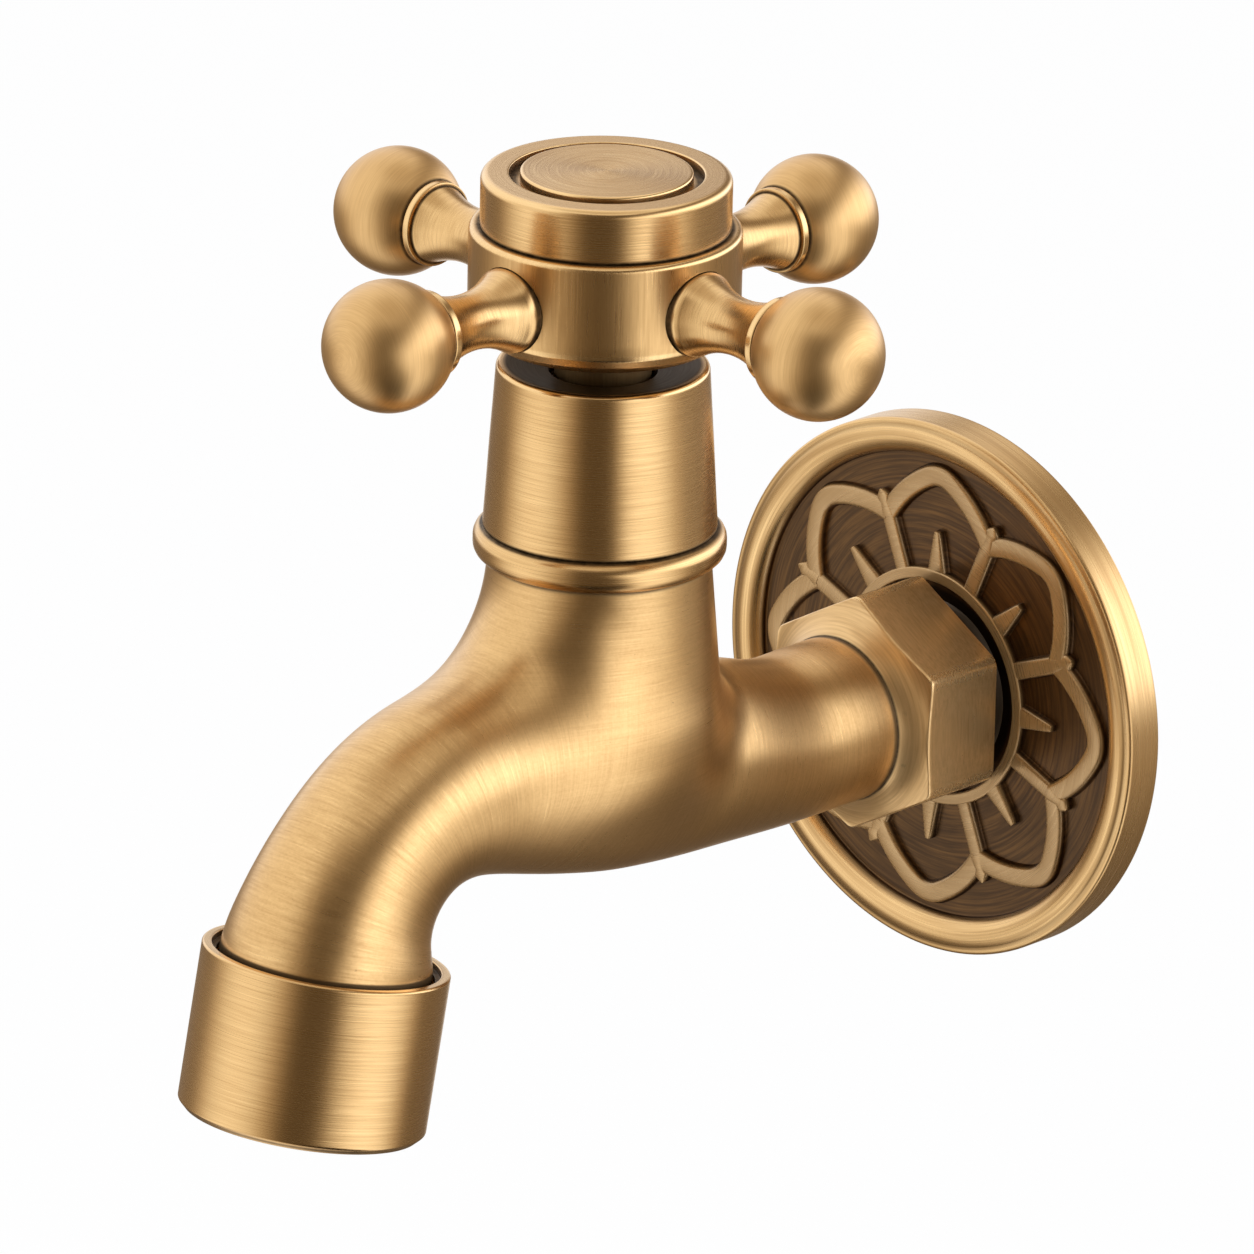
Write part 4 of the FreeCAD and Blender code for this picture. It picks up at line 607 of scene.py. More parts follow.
class Tree:
    """A geometry node tree with named inputs for its sizes."""

    def __init__(self, name, inputs):
        self.tree = bpy.data.node_groups.new(name, "GeometryNodeTree")
        face = self.tree.interface
        face.new_socket("Mesh", in_out="INPUT", socket_type="NodeSocketGeometry")
        face.new_socket("Mesh", in_out="OUTPUT", socket_type="NodeSocketGeometry")
        self.keys = {}
        for label, (kind, default) in inputs.items():
            socket = face.new_socket(label, in_out="INPUT", socket_type="NodeSocket" + kind)
            socket.default_value = default
            self.keys[label] = socket.identifier
        self.start = self.tree.nodes.new("NodeGroupInput")

    def value(self, label):
        return self.start.outputs[label]

    def add(self, kind, **named):
        node = self.tree.nodes.new(kind)
        for name, value in named.items():
            feed(self.tree, node.inputs[name.replace("_", " ")], value)
        return node.outputs[0]

    def math(self, operation, *values):
        node = self.tree.nodes.new("ShaderNodeMath")
        node.operation = operation
        for socket, value in zip(node.inputs, values):
            feed(self.tree, socket, value)
        return node.outputs[0]

    def close(self, geometry, material):
        """End the tree: realize what is instanced and set its material."""
        real = self.add("GeometryNodeRealizeInstances", Geometry=geometry)
        done = self.add("GeometryNodeSetMaterial", Geometry=real, Material=material)
        end = self.tree.nodes.new("NodeGroupOutput")
        self.tree.links.new(done, end.inputs[0])

    def run(self, obj, sizes):
        """Apply the tree to an object with the given sizes and keep the plain mesh."""
        modifier = obj.modifiers.new("made", "NODES")
        modifier.node_group = self.tree
        for label, value in sizes.items():
            modifier[self.keys[label]] = value
        plain_mesh(obj)


def around_axis_tree(material):
    """Copies of the input mesh, evenly round the flange's axis."""
    tree = Tree("copies_round_the_flange", {"Count": ("Int", PETALS)})
    count = tree.value("Count")
    line = tree.add("GeometryNodeMeshLine", Count=count, Offset=(0.0, 0.0, 0.0))
    share = tree.math("DIVIDE", tree.add("GeometryNodeInputIndex"), count)
    spin = tree.add("ShaderNodeCombineXYZ", Y=tree.math("MULTIPLY", share, FULL_TURN))
    copies = tree.add("GeometryNodeInstanceOnPoints", Points=line, Instance=tree.value("Mesh"), Rotation=spin)
    tree.close(copies, material)
    return tree


# ---------------------------------------------------------------- wall flange


def arc_between(start, end, radius, steps):
    """Points of an arc from start to end that turns left for a positive radius."""
    start, end = Vector(start), Vector(end)
    chord = end - start
    rise = math.sqrt(radius * radius - (chord.length / 2) ** 2)
    left = Vector((-chord.y, chord.x)).normalized()
    centre = (start + end) / 2 + left * math.copysign(rise, radius)
    first = start - centre
    sweep = first.angle_signed(end - centre)
    return [tuple(centre + Matrix.Rotation(-sweep * step / steps, 2) @ first) for step in range(steps + 1)]


def ribbon(path, widths, rises):
    """Raised line with a rounded top and a spread foot along a path: points and faces."""
    base = FIELD_LEVEL - SUNK_FOOT
    shape = [(-share, lift) for share, lift in RIBBON_SHOULDER] + RIBBON_SHOULDER[::-1]
    count = len(shape)
    path = np.array(path, float)
    points = []
    for spot, ahead, width, rise in zip(path, headings(path), widths, rises):
        aside = np.array([-ahead[1], ahead[0]])
        for share, lift in shape:
            x, z = spot + aside * share * width
            points.append((x, -(base + (rise + SUNK_FOOT) * lift), z))
    faces = grid_faces(len(path), count, False)
    faces.append(tuple(range(count))[::-1])
    faces.append(tuple((len(path) - 1) * count + column for column in range(count)))
    return points, faces


def petal_arch():
    """Middle line of a petal: two long side arcs and a tight one round the tip."""
    half = math.pi / PETALS
    valley = Vector((VALLEY_R * math.sin(half), VALLEY_R * math.cos(half)))
    tip = Vector((0, PETAL_TIP_R - TIP_CURVE))
    way = tip - valley
    share = ((SIDE_CURVE ** 2 - (SIDE_CURVE - TIP_CURVE) ** 2) / way.length_squared + 1) / 2
    shift = math.sqrt(SIDE_CURVE ** 2 / way.length_squared - share ** 2)
    side = valley + way * share + Vector((-way.y, way.x)) * shift
    shoulder = side + (tip - side).normalized() * SIDE_CURVE
    right = arc_between(valley, shoulder, SIDE_CURVE, 20)
    crown = arc_between(shoulder, (-shoulder.x, shoulder.y), TIP_CURVE, 14)
    left = [(-x, y) for x, y in right[::-1]]
    return right + crown[1:-1] + left


def petal_lines():
    """One petal's arch and spike and the budded spoke beside it, each as path, widths and rises.

    Their tops differ by a few hundredths, so that crossing lines never share a face.
    """
    arch = petal_arch()
    yield arch, [PETAL_LINE] * len(arch), np.linspace(RELIEF, RELIEF - 0.03, len(arch))
    spike = [(0, reach) for reach in np.linspace(RING_R, SPIKE_R, 12)]
    yield spike, [*np.linspace(SPIKE_FOOT, SPIKE_TIP, 11), SPIKE_END], [RELIEF - 0.02] * len(spike)
    turned = Matrix.Rotation(math.pi / PETALS, 2)

    def between_petals(reaches):
        return [tuple(turned @ Vector((0, reach))) for reach in reaches]

    spoke = between_petals(np.linspace(RING_R, SPOKE_R, 14))
    yield spoke, [SPOKE_LINE] * len(spoke), [RELIEF - 0.05] * len(spoke)
    bud = between_petals(VALLEY_R + rise for rise, _ in BUD)
    yield bud, [width for _, width in BUD], [RELIEF + 0.02] * len(bud)


def build_flange():
    """Flange plate, the flower's lines and the ring round the bore."""
    material = flange_brass()
    hollow_in, hollow_out = FLANGE_BORE_R + BORE_WALL, FLANGE_R - OUTER_WALL
    ledge, foot = (FLANGE_R - RIM_LIP, RIM_LEDGE), (FIELD_R, FIELD_LEVEL + MOULD_FOOT)
    moulding = arc_between(ledge, foot, MOULD_CURVE, 20)
    plate = lathe("flange_plate", [
        (FLANGE_BORE_R, 0.0, 0.1), (hollow_in, 0.0, 0.1), (hollow_in, BACK_HOLLOW, 0.2),
        (hollow_out, BACK_HOLLOW, 0.2), (hollow_out, 0.0, 0.1), (FLANGE_R, 0.0, 0.15),
        (FLANGE_R, RIM_LEDGE, 0.4), *moulding, (FIELD_R, FIELD_LEVEL, 0.2),
        *((ring, FIELD_LEVEL) for ring in FIELD_RINGS), (FLANGE_BORE_R, FIELD_LEVEL, 0.15),
    ], OUTWARD, material, 256)
    points, faces = [], []
    for line in petal_lines():
        more, extra = ribbon(*line)
        faces += [tuple(len(points) + index for index in face) for face in extra]
        points += more
    relief = mesh_object("flange_lotus", points, faces, material, 50)
    around_axis_tree(material).run(relief, {"Count": PETALS})
    relief.data.set_sharp_from_angle(angle=math.radians(50))
    inner, outer = RING_R - RING_LINE / 2, RING_R + RING_LINE / 2
    top = FIELD_LEVEL + RELIEF + SUNK_FOOT
    ring = lathe("flange_ring", [
        (inner, FIELD_LEVEL - 0.1), (inner, top, 0.2), (outer, top, 0.2), (outer, FIELD_LEVEL - 0.1),
    ], OUTWARD, material, 160)
    settle(plate, "flange", "flange_brass", "wall_flange")
    settle(relief, "flange", "flange_brass")
    settle(ring, "flange", "flange_brass")


# ---------------------------------------------------------------- inlet tailpiece


def hex_radius(angle):
    """Radius of a softly cornered hexagon with corners at top and bottom."""
    total = np.zeros_like(angle)
    for side in range(6):
        reach = np.cos(angle - math.pi / 3 * side)
        total += (np.clip(reach, 0, None) / HEX_HALF) ** HEX_SHARPNESS
    return total ** (-1 / HEX_SHARPNESS)


def flare_drop(radius):
    """How far the flared front of the hexagon has fallen back at a radius."""
    run = HEX_CORNER - PIPE_R
    chord = math.hypot(run, FLARE_DEPTH)
    rise = math.sqrt(FLARE_CURVE ** 2 - chord ** 2 / 4)
    middle = (PIPE_R + HEX_CORNER) / 2 + rise * FLARE_DEPTH / chord
    level = FLARE_DEPTH / 2 - rise * run / chord
    return level + np.sqrt(FLARE_CURVE ** 2 - (radius - middle) ** 2)


def thread_radius(depth, turns):
    """Radius of the tail at a depth behind the wall face: ribs that fade out at both ends."""
    flank, lead_in, run_out = 2.6, 0.8, 1.4
    phase = (depth / THREAD_PITCH + turns) % 1.0
    crest = np.clip(np.abs(phase - 0.5) * flank - 0.25, 0, 1)
    fade = min(1.0, depth / lead_in, (THREAD_LEN - depth) / run_out)
    groove = (1 - crest) * min(1.0, max(0.15, fade + 0.2)) + 1 - max(0.0, fade)
    return THREAD_R - np.clip(THREAD_DEPTH * groove, 0, THREAD_DEPTH)


def build_tailpiece():
    """Rows of the tailpiece from the bore over the hexagon and back along the thread."""
    angle = np.linspace(0, FULL_TURN, 432, endpoint=False)
    flat = hex_radius(angle)
    corner_r = flat.max()
    edge = HEX_FRONT - flare_drop(flat)
    rows = [(WATERWAY_R, HEX_FRONT), (PIPE_R, HEX_FRONT)]
    for share in (0.08, 0.16, 0.26, 0.38, 0.52, 0.68, 0.84, 0.94):
        reach = PIPE_R + (flat - PIPE_R) * share
        rows.append((reach, HEX_FRONT - flare_drop(reach)))
    for inset, drop in ((0.16, -0.06), (0.07, 0.02), (0.015, 0.13), (0.0, 0.3), (0.0, 0.7)):
        rows.append((flat - inset, edge - drop))
    for inset, rise in ((0.0, 6.0), (0.0, 1.0), (0.0, 0.3), (0.04, 0.1), (0.2, 0.0), (0.6, 0.0)):
        rows.append((flat - inset, HEX_BACK + rise))
    rows += [(TAIL_NECK_R + 0.2, HEX_BACK), (TAIL_NECK_R, HEX_BACK - 0.2), (TAIL_NECK_R, TAIL_NECK_END)]
    for depth in np.arange(0.0, THREAD_LEN, THREAD_PITCH / 8):
        rows.append((thread_radius(depth, angle / FULL_TURN), -depth))
    rows += [(TAIL_END_R, -TAIL_LEN), (WATERWAY_R + 0.2, -TAIL_LEN), (WATERWAY_R, 0.2 - TAIL_LEN)]
    radii = np.array([radius + 0 * angle for radius, _ in rows])
    levels = np.array([level + 0 * angle for _, level in rows])

    # Painted shade on the tail's neck behind the hexagon.
    def behind_hexagon(radius, height):
        return height.step(HEX_BACK, HEX_BACK - 0.3) * height.step(-0.5, 0.3) * 0.85

    # Painted highlight along the hexagon's rounded corners.
    def hexagon_corner_highlight(radius, height):
        return radius.step(corner_r - 0.55, corner_r - 0.15)

    material = turned_brass("tail_brass", OUTWARD, seams=[(PIPE_R, HEX_FRONT, 0.4)], lines=3.5, tint=0.4,
                            rough=0.34, aniso=0.0, marks=0.9, metal=0.75, shadow=behind_hexagon,
                            painted_highlight=hexagon_corner_highlight)
    piece = wrap("tail_piece", radii, levels, OUTWARD, material, True, 32)
    settle(piece, "tap_body", "turned_brass", "inlet_tailpiece")


# ---------------------------------------------------------------- body casting


def natural_spline(knots, values, at):
    """Smooth curve through the values at the knots, read at the given places."""
    count = len(knots)
    gap = np.diff(knots)
    system, right = np.eye(count), np.zeros((count, values.shape[1]))
    for i in range(1, count - 1):
        system[i, i - 1:i + 2] = gap[i - 1], 2 * (gap[i - 1] + gap[i]), gap[i]
        right[i] = 6 * ((values[i + 1] - values[i]) / gap[i] - (values[i] - values[i - 1]) / gap[i - 1])
    bend = np.linalg.solve(system, right)
    cell = np.clip(np.searchsorted(knots, at, side="right") - 1, 0, count - 2)
    width, after = gap[cell][:, None], (at - knots[cell])[:, None]
    before = width - after
    return (bend[cell] * before ** 3 + bend[cell + 1] * after ** 3) / (6 * width) \
        + (values[cell] / width - bend[cell] * width / 6) * before \
        + (values[cell + 1] / width - bend[cell + 1] * width / 6) * after


def tube_line(samples=900):
    """Dense middle line (out, up, radius) from the hexagon to the outlet, and its length on the way."""
    stations = list(TUBE_STATIONS)
    for share, radius in BEND_RADII:
        turn = BEND_TURN * share
        stations.append((CREST_OUT + BEND * math.sin(turn), CREST_UP - BEND + BEND * math.cos(turn), radius))
    out, up, radius = stations[-1]
    stations.append((out + TUBE_SPARE * math.sin(TILT), up - TUBE_SPARE * math.cos(TILT), radius))
    stations = np.array(stations)
    steps = np.linalg.norm(np.diff(stations[:, :2], axis=0), axis=1)
    knots = np.concatenate([[0], np.cumsum(steps)])
    at = np.linspace(0, knots[-1], samples)
    return natural_spline(knots, stations, at), at


def tube_gap(points, line, at):
    """Signed distance to the tube, place along it and direction round it, for each point."""
    ahead = headings(line[:, :2])
    spacing = at[1] - at[0]
    flat = np.stack([-points[:, 1], points[:, 2]], 1)
    stride, batch = 20, 20000
    coarse = line[::stride, :2]
    nearest = np.concatenate([((part[:, None] - coarse) ** 2).sum(-1).argmin(1)
                              for part in np.array_split(flat, max(1, len(flat) // batch))]) * stride
    for _ in range(3):
        slide = ((flat - line[nearest, :2]) * ahead[nearest]).sum(1)
        nearest = np.clip(nearest + np.rint(slide / spacing * 0.9).astype(int), 0, len(line) - 1)
    rest = flat - line[nearest, :2]
    slide = (rest * ahead[nearest]).sum(1)
    lift = rest[:, 1] * ahead[nearest, 0] - rest[:, 0] * ahead[nearest, 1]
    share = np.clip(slide / spacing, -1, 1)
    other = np.clip(nearest + np.sign(share).astype(int), 0, len(line) - 1)
    radius = line[nearest, 2] + (line[other, 2] - line[nearest, 2]) * np.abs(share)
    away = np.hypot(points[:, 0], lift)
    cross = np.stack([points[:, 0], lift], 1) / np.maximum(away, 1e-6)[:, None]
    return away - radius, at[nearest] + slide, cross


def neck_gap(points):
    """Signed distance to the turned neck and hips."""
    radius = np.hypot(points[:, 0], points[:, 1] + HANDLE_OUT)
    level = points[:, 2]
    slant = np.array([HIP_R - NECK_R, HIP_UP - NECK_TOP])
    slant /= np.linalg.norm(slant)
    down = (radius - HIP_R) * slant[0] + (level - HIP_UP) * slant[1]
    line = (radius - HIP_R) * -slant[1] + (level - HIP_UP) * slant[0]
    centre = (HIP_R + slant[1] * HIP_CURVE, HIP_UP - slant[0] * HIP_CURVE)
    bowl = np.hypot(radius - centre[0], level - centre[1]) - HIP_CURVE
    return np.where(down > 0, bowl, line)


def gently(share):
    """Smooth step of a share that is cut to 0..1."""
    share = np.clip(share, 0, 1)
    return share * share * (3 - 2 * share)


def casting_field(points, line, at):
    """Signed field of tube and neck blended together.

    The blend widens above the inlet axis and over 24 mm round the handle's axis, so that the
    neck runs out softly into the spout.
    """
    tube, place, cross = tube_gap(points, line, at)
    neck = neck_gap(points)
    front = gently((-points[:, 1] - HANDLE_OUT + 12) / 24)
    above = gently((points[:, 2] + 2) / 12)
    blend = BLEND + FRONT_BLEND * front * above
    near = np.clip(blend - np.abs(tube - neck), 0, None) / blend
    on_neck = np.clip(0.5 + (tube - neck) / (2 * blend), 0, 1)
    return np.minimum(tube, neck) - near * near * blend / 4, place, cross, on_neck


def pull_to_surface(points, line, at, rounds=2):
    """Move points on to the blended surface along its slope, by short steps."""
    nudge, longest, gentlest = 0.02, 1.5, 0.2
    for _ in range(rounds):
        field = casting_field(points, line, at)[0]
        slope = np.stack([(casting_field(points + nudge * axis, line, at)[0] - field) / nudge
                          for axis in np.eye(3)], 1)
        size = np.maximum((slope ** 2).sum(1), gentlest)
        points = points - slope * (np.clip(field, -longest, longest) / size)[:, None]
    return points


def rough_casting(line, material):
    """Tube and neck meshes joined and remeshed as one even skin to start from."""
    segments, stride, spare, voxel = 64, 6, 0.6, 0.85
    angle = np.linspace(0, FULL_TURN, segments, endpoint=False)
    points, rings = [], line[::stride]
    for (out, up, radius), way in zip(rings, headings(line[:, :2])[::stride]):
        for turn in angle:
            lift = radius * math.sin(turn)
            points.append((radius * math.cos(turn), -(out - way[1] * lift), up + way[0] * lift))
    faces = grid_faces(len(rings), segments, False)
    faces.append(tuple(range(segments)))
    faces.append(tuple((len(rings) - 1) * segments + index for index in range(segments)))
    tube = mesh_object("body_skin", points, faces, material)
    bowl = [((HIP_R + spare) * math.cos(turn), HIP_UP - 1 - (HIP_CURVE + 0.2) * math.sin(turn))
            for turn in np.linspace(0, math.pi / 2, 24)]
    top = NECK_TOP + 3
    neck = lathe("neck_skin", [(0, top), (NECK_R - 0.3, top)] + bowl, UPRIGHT, material, 96, False)
    with bpy.context.temp_override(active_object=tube, selected_editable_objects=[tube, neck]):
        bpy.ops.object.join()
    remesh = tube.modifiers.new("even", "REMESH")
    remesh.mode, remesh.voxel_size = "VOXEL", voxel * MM
    plain_mesh(tube)
    return tube


def relax(points, links, rounds):
    """Even out the spacing of points by moving each towards its neighbours."""
    first, second = links[:, 0], links[:, 1]
    count = np.bincount(links.ravel(), minlength=len(points))[:, None]
    for _ in range(rounds):
        total = np.zeros_like(points)
        np.add.at(total, first, points[second])
        np.add.at(total, second, points[first])
        points = points + 0.5 * (total / count - points)
    return points


def fit_skin(mesh, line, at, passes, rounds):
    """Even out the skin and pull it on to the blended surface, again and again."""
    points = np.array([vert.co for vert in mesh.vertices]) / MM
    links = np.array([edge.vertices[:] for edge in mesh.edges])
    for _ in range(passes):
        points = pull_to_surface(relax(points, links, rounds), line, at)
    mesh.vertices.foreach_set("co", (points * MM).ravel())


def halve_faces(mesh):
    """Cut every edge of the mesh in two."""
    work = bmesh.new()
    work.from_mesh(mesh)
    bmesh.ops.subdivide_edges(work, edges=work.edges, cuts=1, use_grid_fill=True)
    work.to_mesh(mesh)
    work.free()


def trim_casting(mesh):
    """Cut the ends square at the hexagon, the neck's top and the outlet, and close them."""
    outlet = NOZZLE @ Vector((0, 0, -OUTLET_CUT))
    down = NOZZLE.to_3x3() @ Vector((0, 0, -1))
    cuts = [((0, 0.05 - HEX_FRONT, 0), (0, 1, 0)), ((0, 0, NECK_TOP), (0, 0, 1)), (outlet, down)]
    work = bmesh.new()
    work.from_mesh(mesh)
    for spot, way in cuts:
        geometry = work.verts[:] + work.edges[:] + work.faces[:]
        cut = bmesh.ops.bisect_plane(work, geom=geometry, dist=1e-7, plane_co=Vector(spot) * MM,
                                     plane_no=way, clear_outer=True)
        rim = [item for item in cut["geom_cut"] if isinstance(item, bmesh.types.BMEdge)]
        bmesh.ops.holes_fill(work, edges=rim, sides=0)
    work.to_mesh(mesh)
    work.free()


def note_brushing(mesh, line, at):
    """Store the place along and round the tube, and how much a point belongs to the neck."""
    points = np.array([vert.co for vert in mesh.vertices]) / MM
    _, place, cross, on_neck = casting_field(points, line, at)
    flow = mesh.attributes.new("flow", "FLOAT_VECTOR", "POINT")
    flow.data.foreach_set("vector", np.column_stack([place, cross]).astype(np.float32).ravel())
    neck = mesh.attributes.new("on_neck", "FLOAT", "POINT")
    neck.data.foreach_set("value", on_neck.astype(np.float32))


def build_casting():
    """Casting as one skin over tube and neck, and the outlet's stub inside the nozzle."""
    line, at = tube_line()
    material = casting_brass()
    skin = rough_casting(line, material)
    fit_skin(skin.data, line, at, passes=3, rounds=4)
    halve_faces(skin.data)
    fit_skin(skin.data, line, at, passes=1, rounds=2)
    trim_casting(skin.data)
    weld(skin, material, 35)
    note_brushing(skin.data, line, at)
    top = 0.1 - OUTLET_CUT
    stub = lathe("outlet_stub", [
        (STUB_BORE_R, -STUB_LEN, 0.3), (STUB_R, -STUB_LEN, 0.5), (STUB_R, top), (STUB_BORE_R, top),
    ], NOZZLE, material, 96)
    settle(skin, "tap_body", "cast_brass", "body_casting")
    settle(stub, "tap_body", "cast_brass")


# ---------------------------------------------------------------- bead ring and shroud


def build_bead_ring():
    """Half-round ring between neck and shroud."""
    seams = [(13.8, SHROUD_UP - 0.05, 0.6), (13.2, NECK_TOP, 0.55)]
    material = turned_brass("bead_brass", UPRIGHT, seams=seams)
    bead = lathe("collar_bead", [
        (BEAD_BORE_R, NECK_TOP), (BEAD_R, NECK_TOP, BEAD_ROUND), (BEAD_R, SHROUD_UP, BEAD_ROUND),
        (BEAD_BORE_R, SHROUD_UP),
    ], UPRIGHT, material, 224)
    settle(bead, "tap_body", "turned_brass", "collar_ring")


def build_shroud():
    """Tapered cover over the headwork, dished round the hub's stem."""
    # Painted shade in the shroud's dished top, under the hub.
    def dish(radius, height):
        return radius.step(SHROUD_LIP_R + 0.65, SHROUD_LIP_R - 0.05) * height.step(48, 52) * 0.85

    material = turned_brass("cover_brass", UPRIGHT, seams=[(SHROUD_R, SHROUD_UP, 0.5)],
                            wear_and_highlight=[(SHROUD_TOP_R - 0.15, SHROUD_TOP - 0.25, 0.45)], shadow=dish)
    shroud = lathe("bonnet_cover", [
        (SHROUD_MOUTH_R, SHROUD_UP, 0.1), (SHROUD_R, SHROUD_UP, 0.2), *SHROUD_TAPER,
        (SHROUD_TOP_R, SHROUD_TOP, 0.75), (SHROUD_LIP_R, SHROUD_TOP - 0.02, 0.12),
        (STEM_HOLE_R, SHROUD_DISH, 0.1), (STEM_HOLE_R, HEADWORK_TOP), (HEADWORK_R, HEADWORK_TOP),
        (HEADWORK_R, SHROUD_BORE_TOP), (SHROUD_BORE_R, SHROUD_BORE_TOP),
    ], UPRIGHT, material, 256)
    settle(shroud, "tap_body", "turned_brass", "bonnet_shroud")


# ---------------------------------------------------------------- hub, cap ring and index disc


def build_cap_ring():
    """Ring on the hub's top with a spigot below and a recess for the index disc."""
    seams = [(CAP_R, HUB_TOP, 0.5), (CAP_MOUTH_R - 0.4, CAP_LEDGE_UP, 1.0)]
    wear_and_highlight = [(CAP_R - 0.25, CAP_TOP - 0.2, 0.5), (CAP_MOUTH_R, CAP_TOP, 0.3)]
    material = turned_brass("cap_brass", UPRIGHT, seams=seams, wear_and_highlight=wear_and_highlight)
    cap = lathe("cap_ring", [
        (CAP_BORE_R, CAP_SPIGOT_UP), (CAP_SPIGOT_R, CAP_SPIGOT_UP), (CAP_SPIGOT_R, HUB_TOP),
        (CAP_R, HUB_TOP, 0.15), (CAP_R, CAP_MIDDLE), (CAP_R, CAP_TOP, 0.85), (CAP_MOUTH_R, CAP_TOP, 0.15),
        (CAP_MOUTH_R, CAP_LEDGE_UP), (CAP_SEAT_R, CAP_LEDGE_UP), (CAP_SEAT_R, CAP_SEAT_UP),
        (CAP_BORE_R, CAP_SEAT_UP),
    ], UPRIGHT, material, 256)
    settle(cap, "handle", "turned_brass", "hub_cap_ring")


def build_index_disc():
    """Plain disc with a skirt that presses into the cap ring."""
    material = turned_brass("disc_brass", UPRIGHT, wear_and_highlight=[(DISC_R - 0.1, DISC_TOP - 0.05, 0.3)], lines=3.4,
                            sweep=1.1, aniso=0.8, marks=1.1)
    skirt_bore = DISC_SKIRT_R - DISC_SKIRT_WALL
    disc = lathe("index_button", [
        (0, CAP_LEDGE_UP), (skirt_bore, CAP_LEDGE_UP), (skirt_bore, DISC_SKIRT_UP),
        (DISC_SKIRT_R, DISC_SKIRT_UP), (DISC_SKIRT_R, CAP_LEDGE_UP), (DISC_R, CAP_LEDGE_UP, 0.1),
        (DISC_R, DISC_TOP, 0.3), *((ring, DISC_TOP) for ring in DISC_RINGS), (0, DISC_TOP),
    ], UPRIGHT, material, 192, False)
    settle(disc, "handle", "turned_brass", "index_disc")


def build_hub():
    """Hub with its four arm seats cut in."""
    # Painted shade on the hub's underside, over the shroud.
    def underside(radius, height):
        return radius.step(13.2, 12.4) * height.step(HUB_UP + 0.8, HUB_UP - 0.1) * 0.6

    wear_and_highlight = [(HUB_R - 0.3, HUB_TOP - 0.3, 0.5), (HUB_R, 60.3, 0.5)]
    material = turned_brass("hub_brass", UPRIGHT, seams=[(CAP_R, HUB_TOP, 0.7)], wear_and_highlight=wear_and_highlight, along=True,
                            lines=6.0, aniso=0.2, rough=0.3, tint=0.8, shadow=underside)
    walls = [(HUB_R, level) for level in np.arange(HUB_WALL_UP, HUB_WALL_TOP, 0.5)]
    hub = lathe("handle_drum", [
        (0, HEADWORK_TOP), (HUB_STEM_R, HEADWORK_TOP, 0.2), (HUB_STEM_R, HUB_UP, 0.3), *HUB_FOOT, *walls,
        (HUB_R, HUB_TOP, 1.05), (HUB_POCKET_R, HUB_TOP), (HUB_POCKET_R, HUB_POCKET_UP), (0, HUB_POCKET_UP),
    ], UPRIGHT, material, 256, False, 35)
    for side, degrees in SIDES.items():
        cutter = lathe("seat_" + side, [(0, SEAT_OUT), (SEAT_R, SEAT_OUT), (SEAT_R, SEAT_END), (0, SEAT_END)],
                       arm_place(degrees), material, 96, False)
        cut = hub.modifiers.new("seat", "BOOLEAN")
        cut.operation, cut.solver, cut.object = "DIFFERENCE", "EXACT", cutter
        plain_mesh(hub)
        bpy.data.objects.remove(cutter)
    weld(hub, material, 35)
    settle(hub, "handle", "handle_brass", "handle_hub")


# ---------------------------------------------------------------- arms and knobs


def waist(share):
    """Radius of an arm between the hub (0) and the collar (1), narrowest a little past the middle."""
    low = 0.52
    if share < low:
        return WAIST_R + (ARM_R - WAIST_R) * ((low - share) / low) ** 2.1
    return WAIST_R + (WAIST_END_R - WAIST_R) * ((share - low) / (1 - low)) ** 2.0


def build_arm(side, place):
    """Waisted arm with a tenon in the hub, a collar and a peg for its knob."""
    seams = [(ARM_R, ARM_ROOT - 0.3, 0.7), (WAIST_END_R, COLLAR_OUT - 0.05, 0.35)]
    wear_and_highlight = [(COLLAR_R, (COLLAR_OUT + COLLAR_END) / 2, 0.4)]
    material = turned_brass("arm_brass_" + side, place, seams=seams, wear_and_highlight=wear_and_highlight, aniso=0.0, marks=0.6)
    neck = [(waist(share), WAIST_START + WAIST_LEN * share) for share in np.linspace(0, 1, 22)]
    arm = lathe("arm_turning_" + side, [
        (0, TENON_OUT), (TENON_R, TENON_OUT), (TENON_R, ARM_OUT), (ARM_R, ARM_OUT), (ARM_R, ARM_ROOT), *neck,
        (COLLAR_R, COLLAR_OUT, 0.2), (COLLAR_R, COLLAR_END, 0.2), (PEG_R, KNOB_FACE), (PEG_R, PEG_END),
        (0, PEG_END),
    ], place, material, 128, False)
    settle(arm, "handle", "handle_brass", "arm_" + side)


def build_knob(side, place):
    """Ball knob with a flat face on the collar and a bore for the peg."""
    material = turned_brass("knob_brass_" + side, place, seams=[(ARM_R, KNOB_FACE, 0.5)], rough=0.38,
                            tint=0.8, aniso=0.0, marks=0.5, metal=0.94)
    start = math.acos((KNOB_FACE - KNOB_OUT) / KNOB_R)
    ball = [(KNOB_R * math.sin(turn), KNOB_OUT + KNOB_R * math.cos(turn))
            for turn in np.linspace(start, 0, 72)]
    bore = [(0, KNOB_BORE_END), (KNOB_BORE_R, KNOB_BORE_END), (KNOB_BORE_R, KNOB_FACE + 0.01)]
    knob = lathe("ball_" + side, bore + ball, place, material, 144, False)
    settle(knob, "handle", "handle_brass", "knob_" + side)


# ---------------------------------------------------------------- nozzle


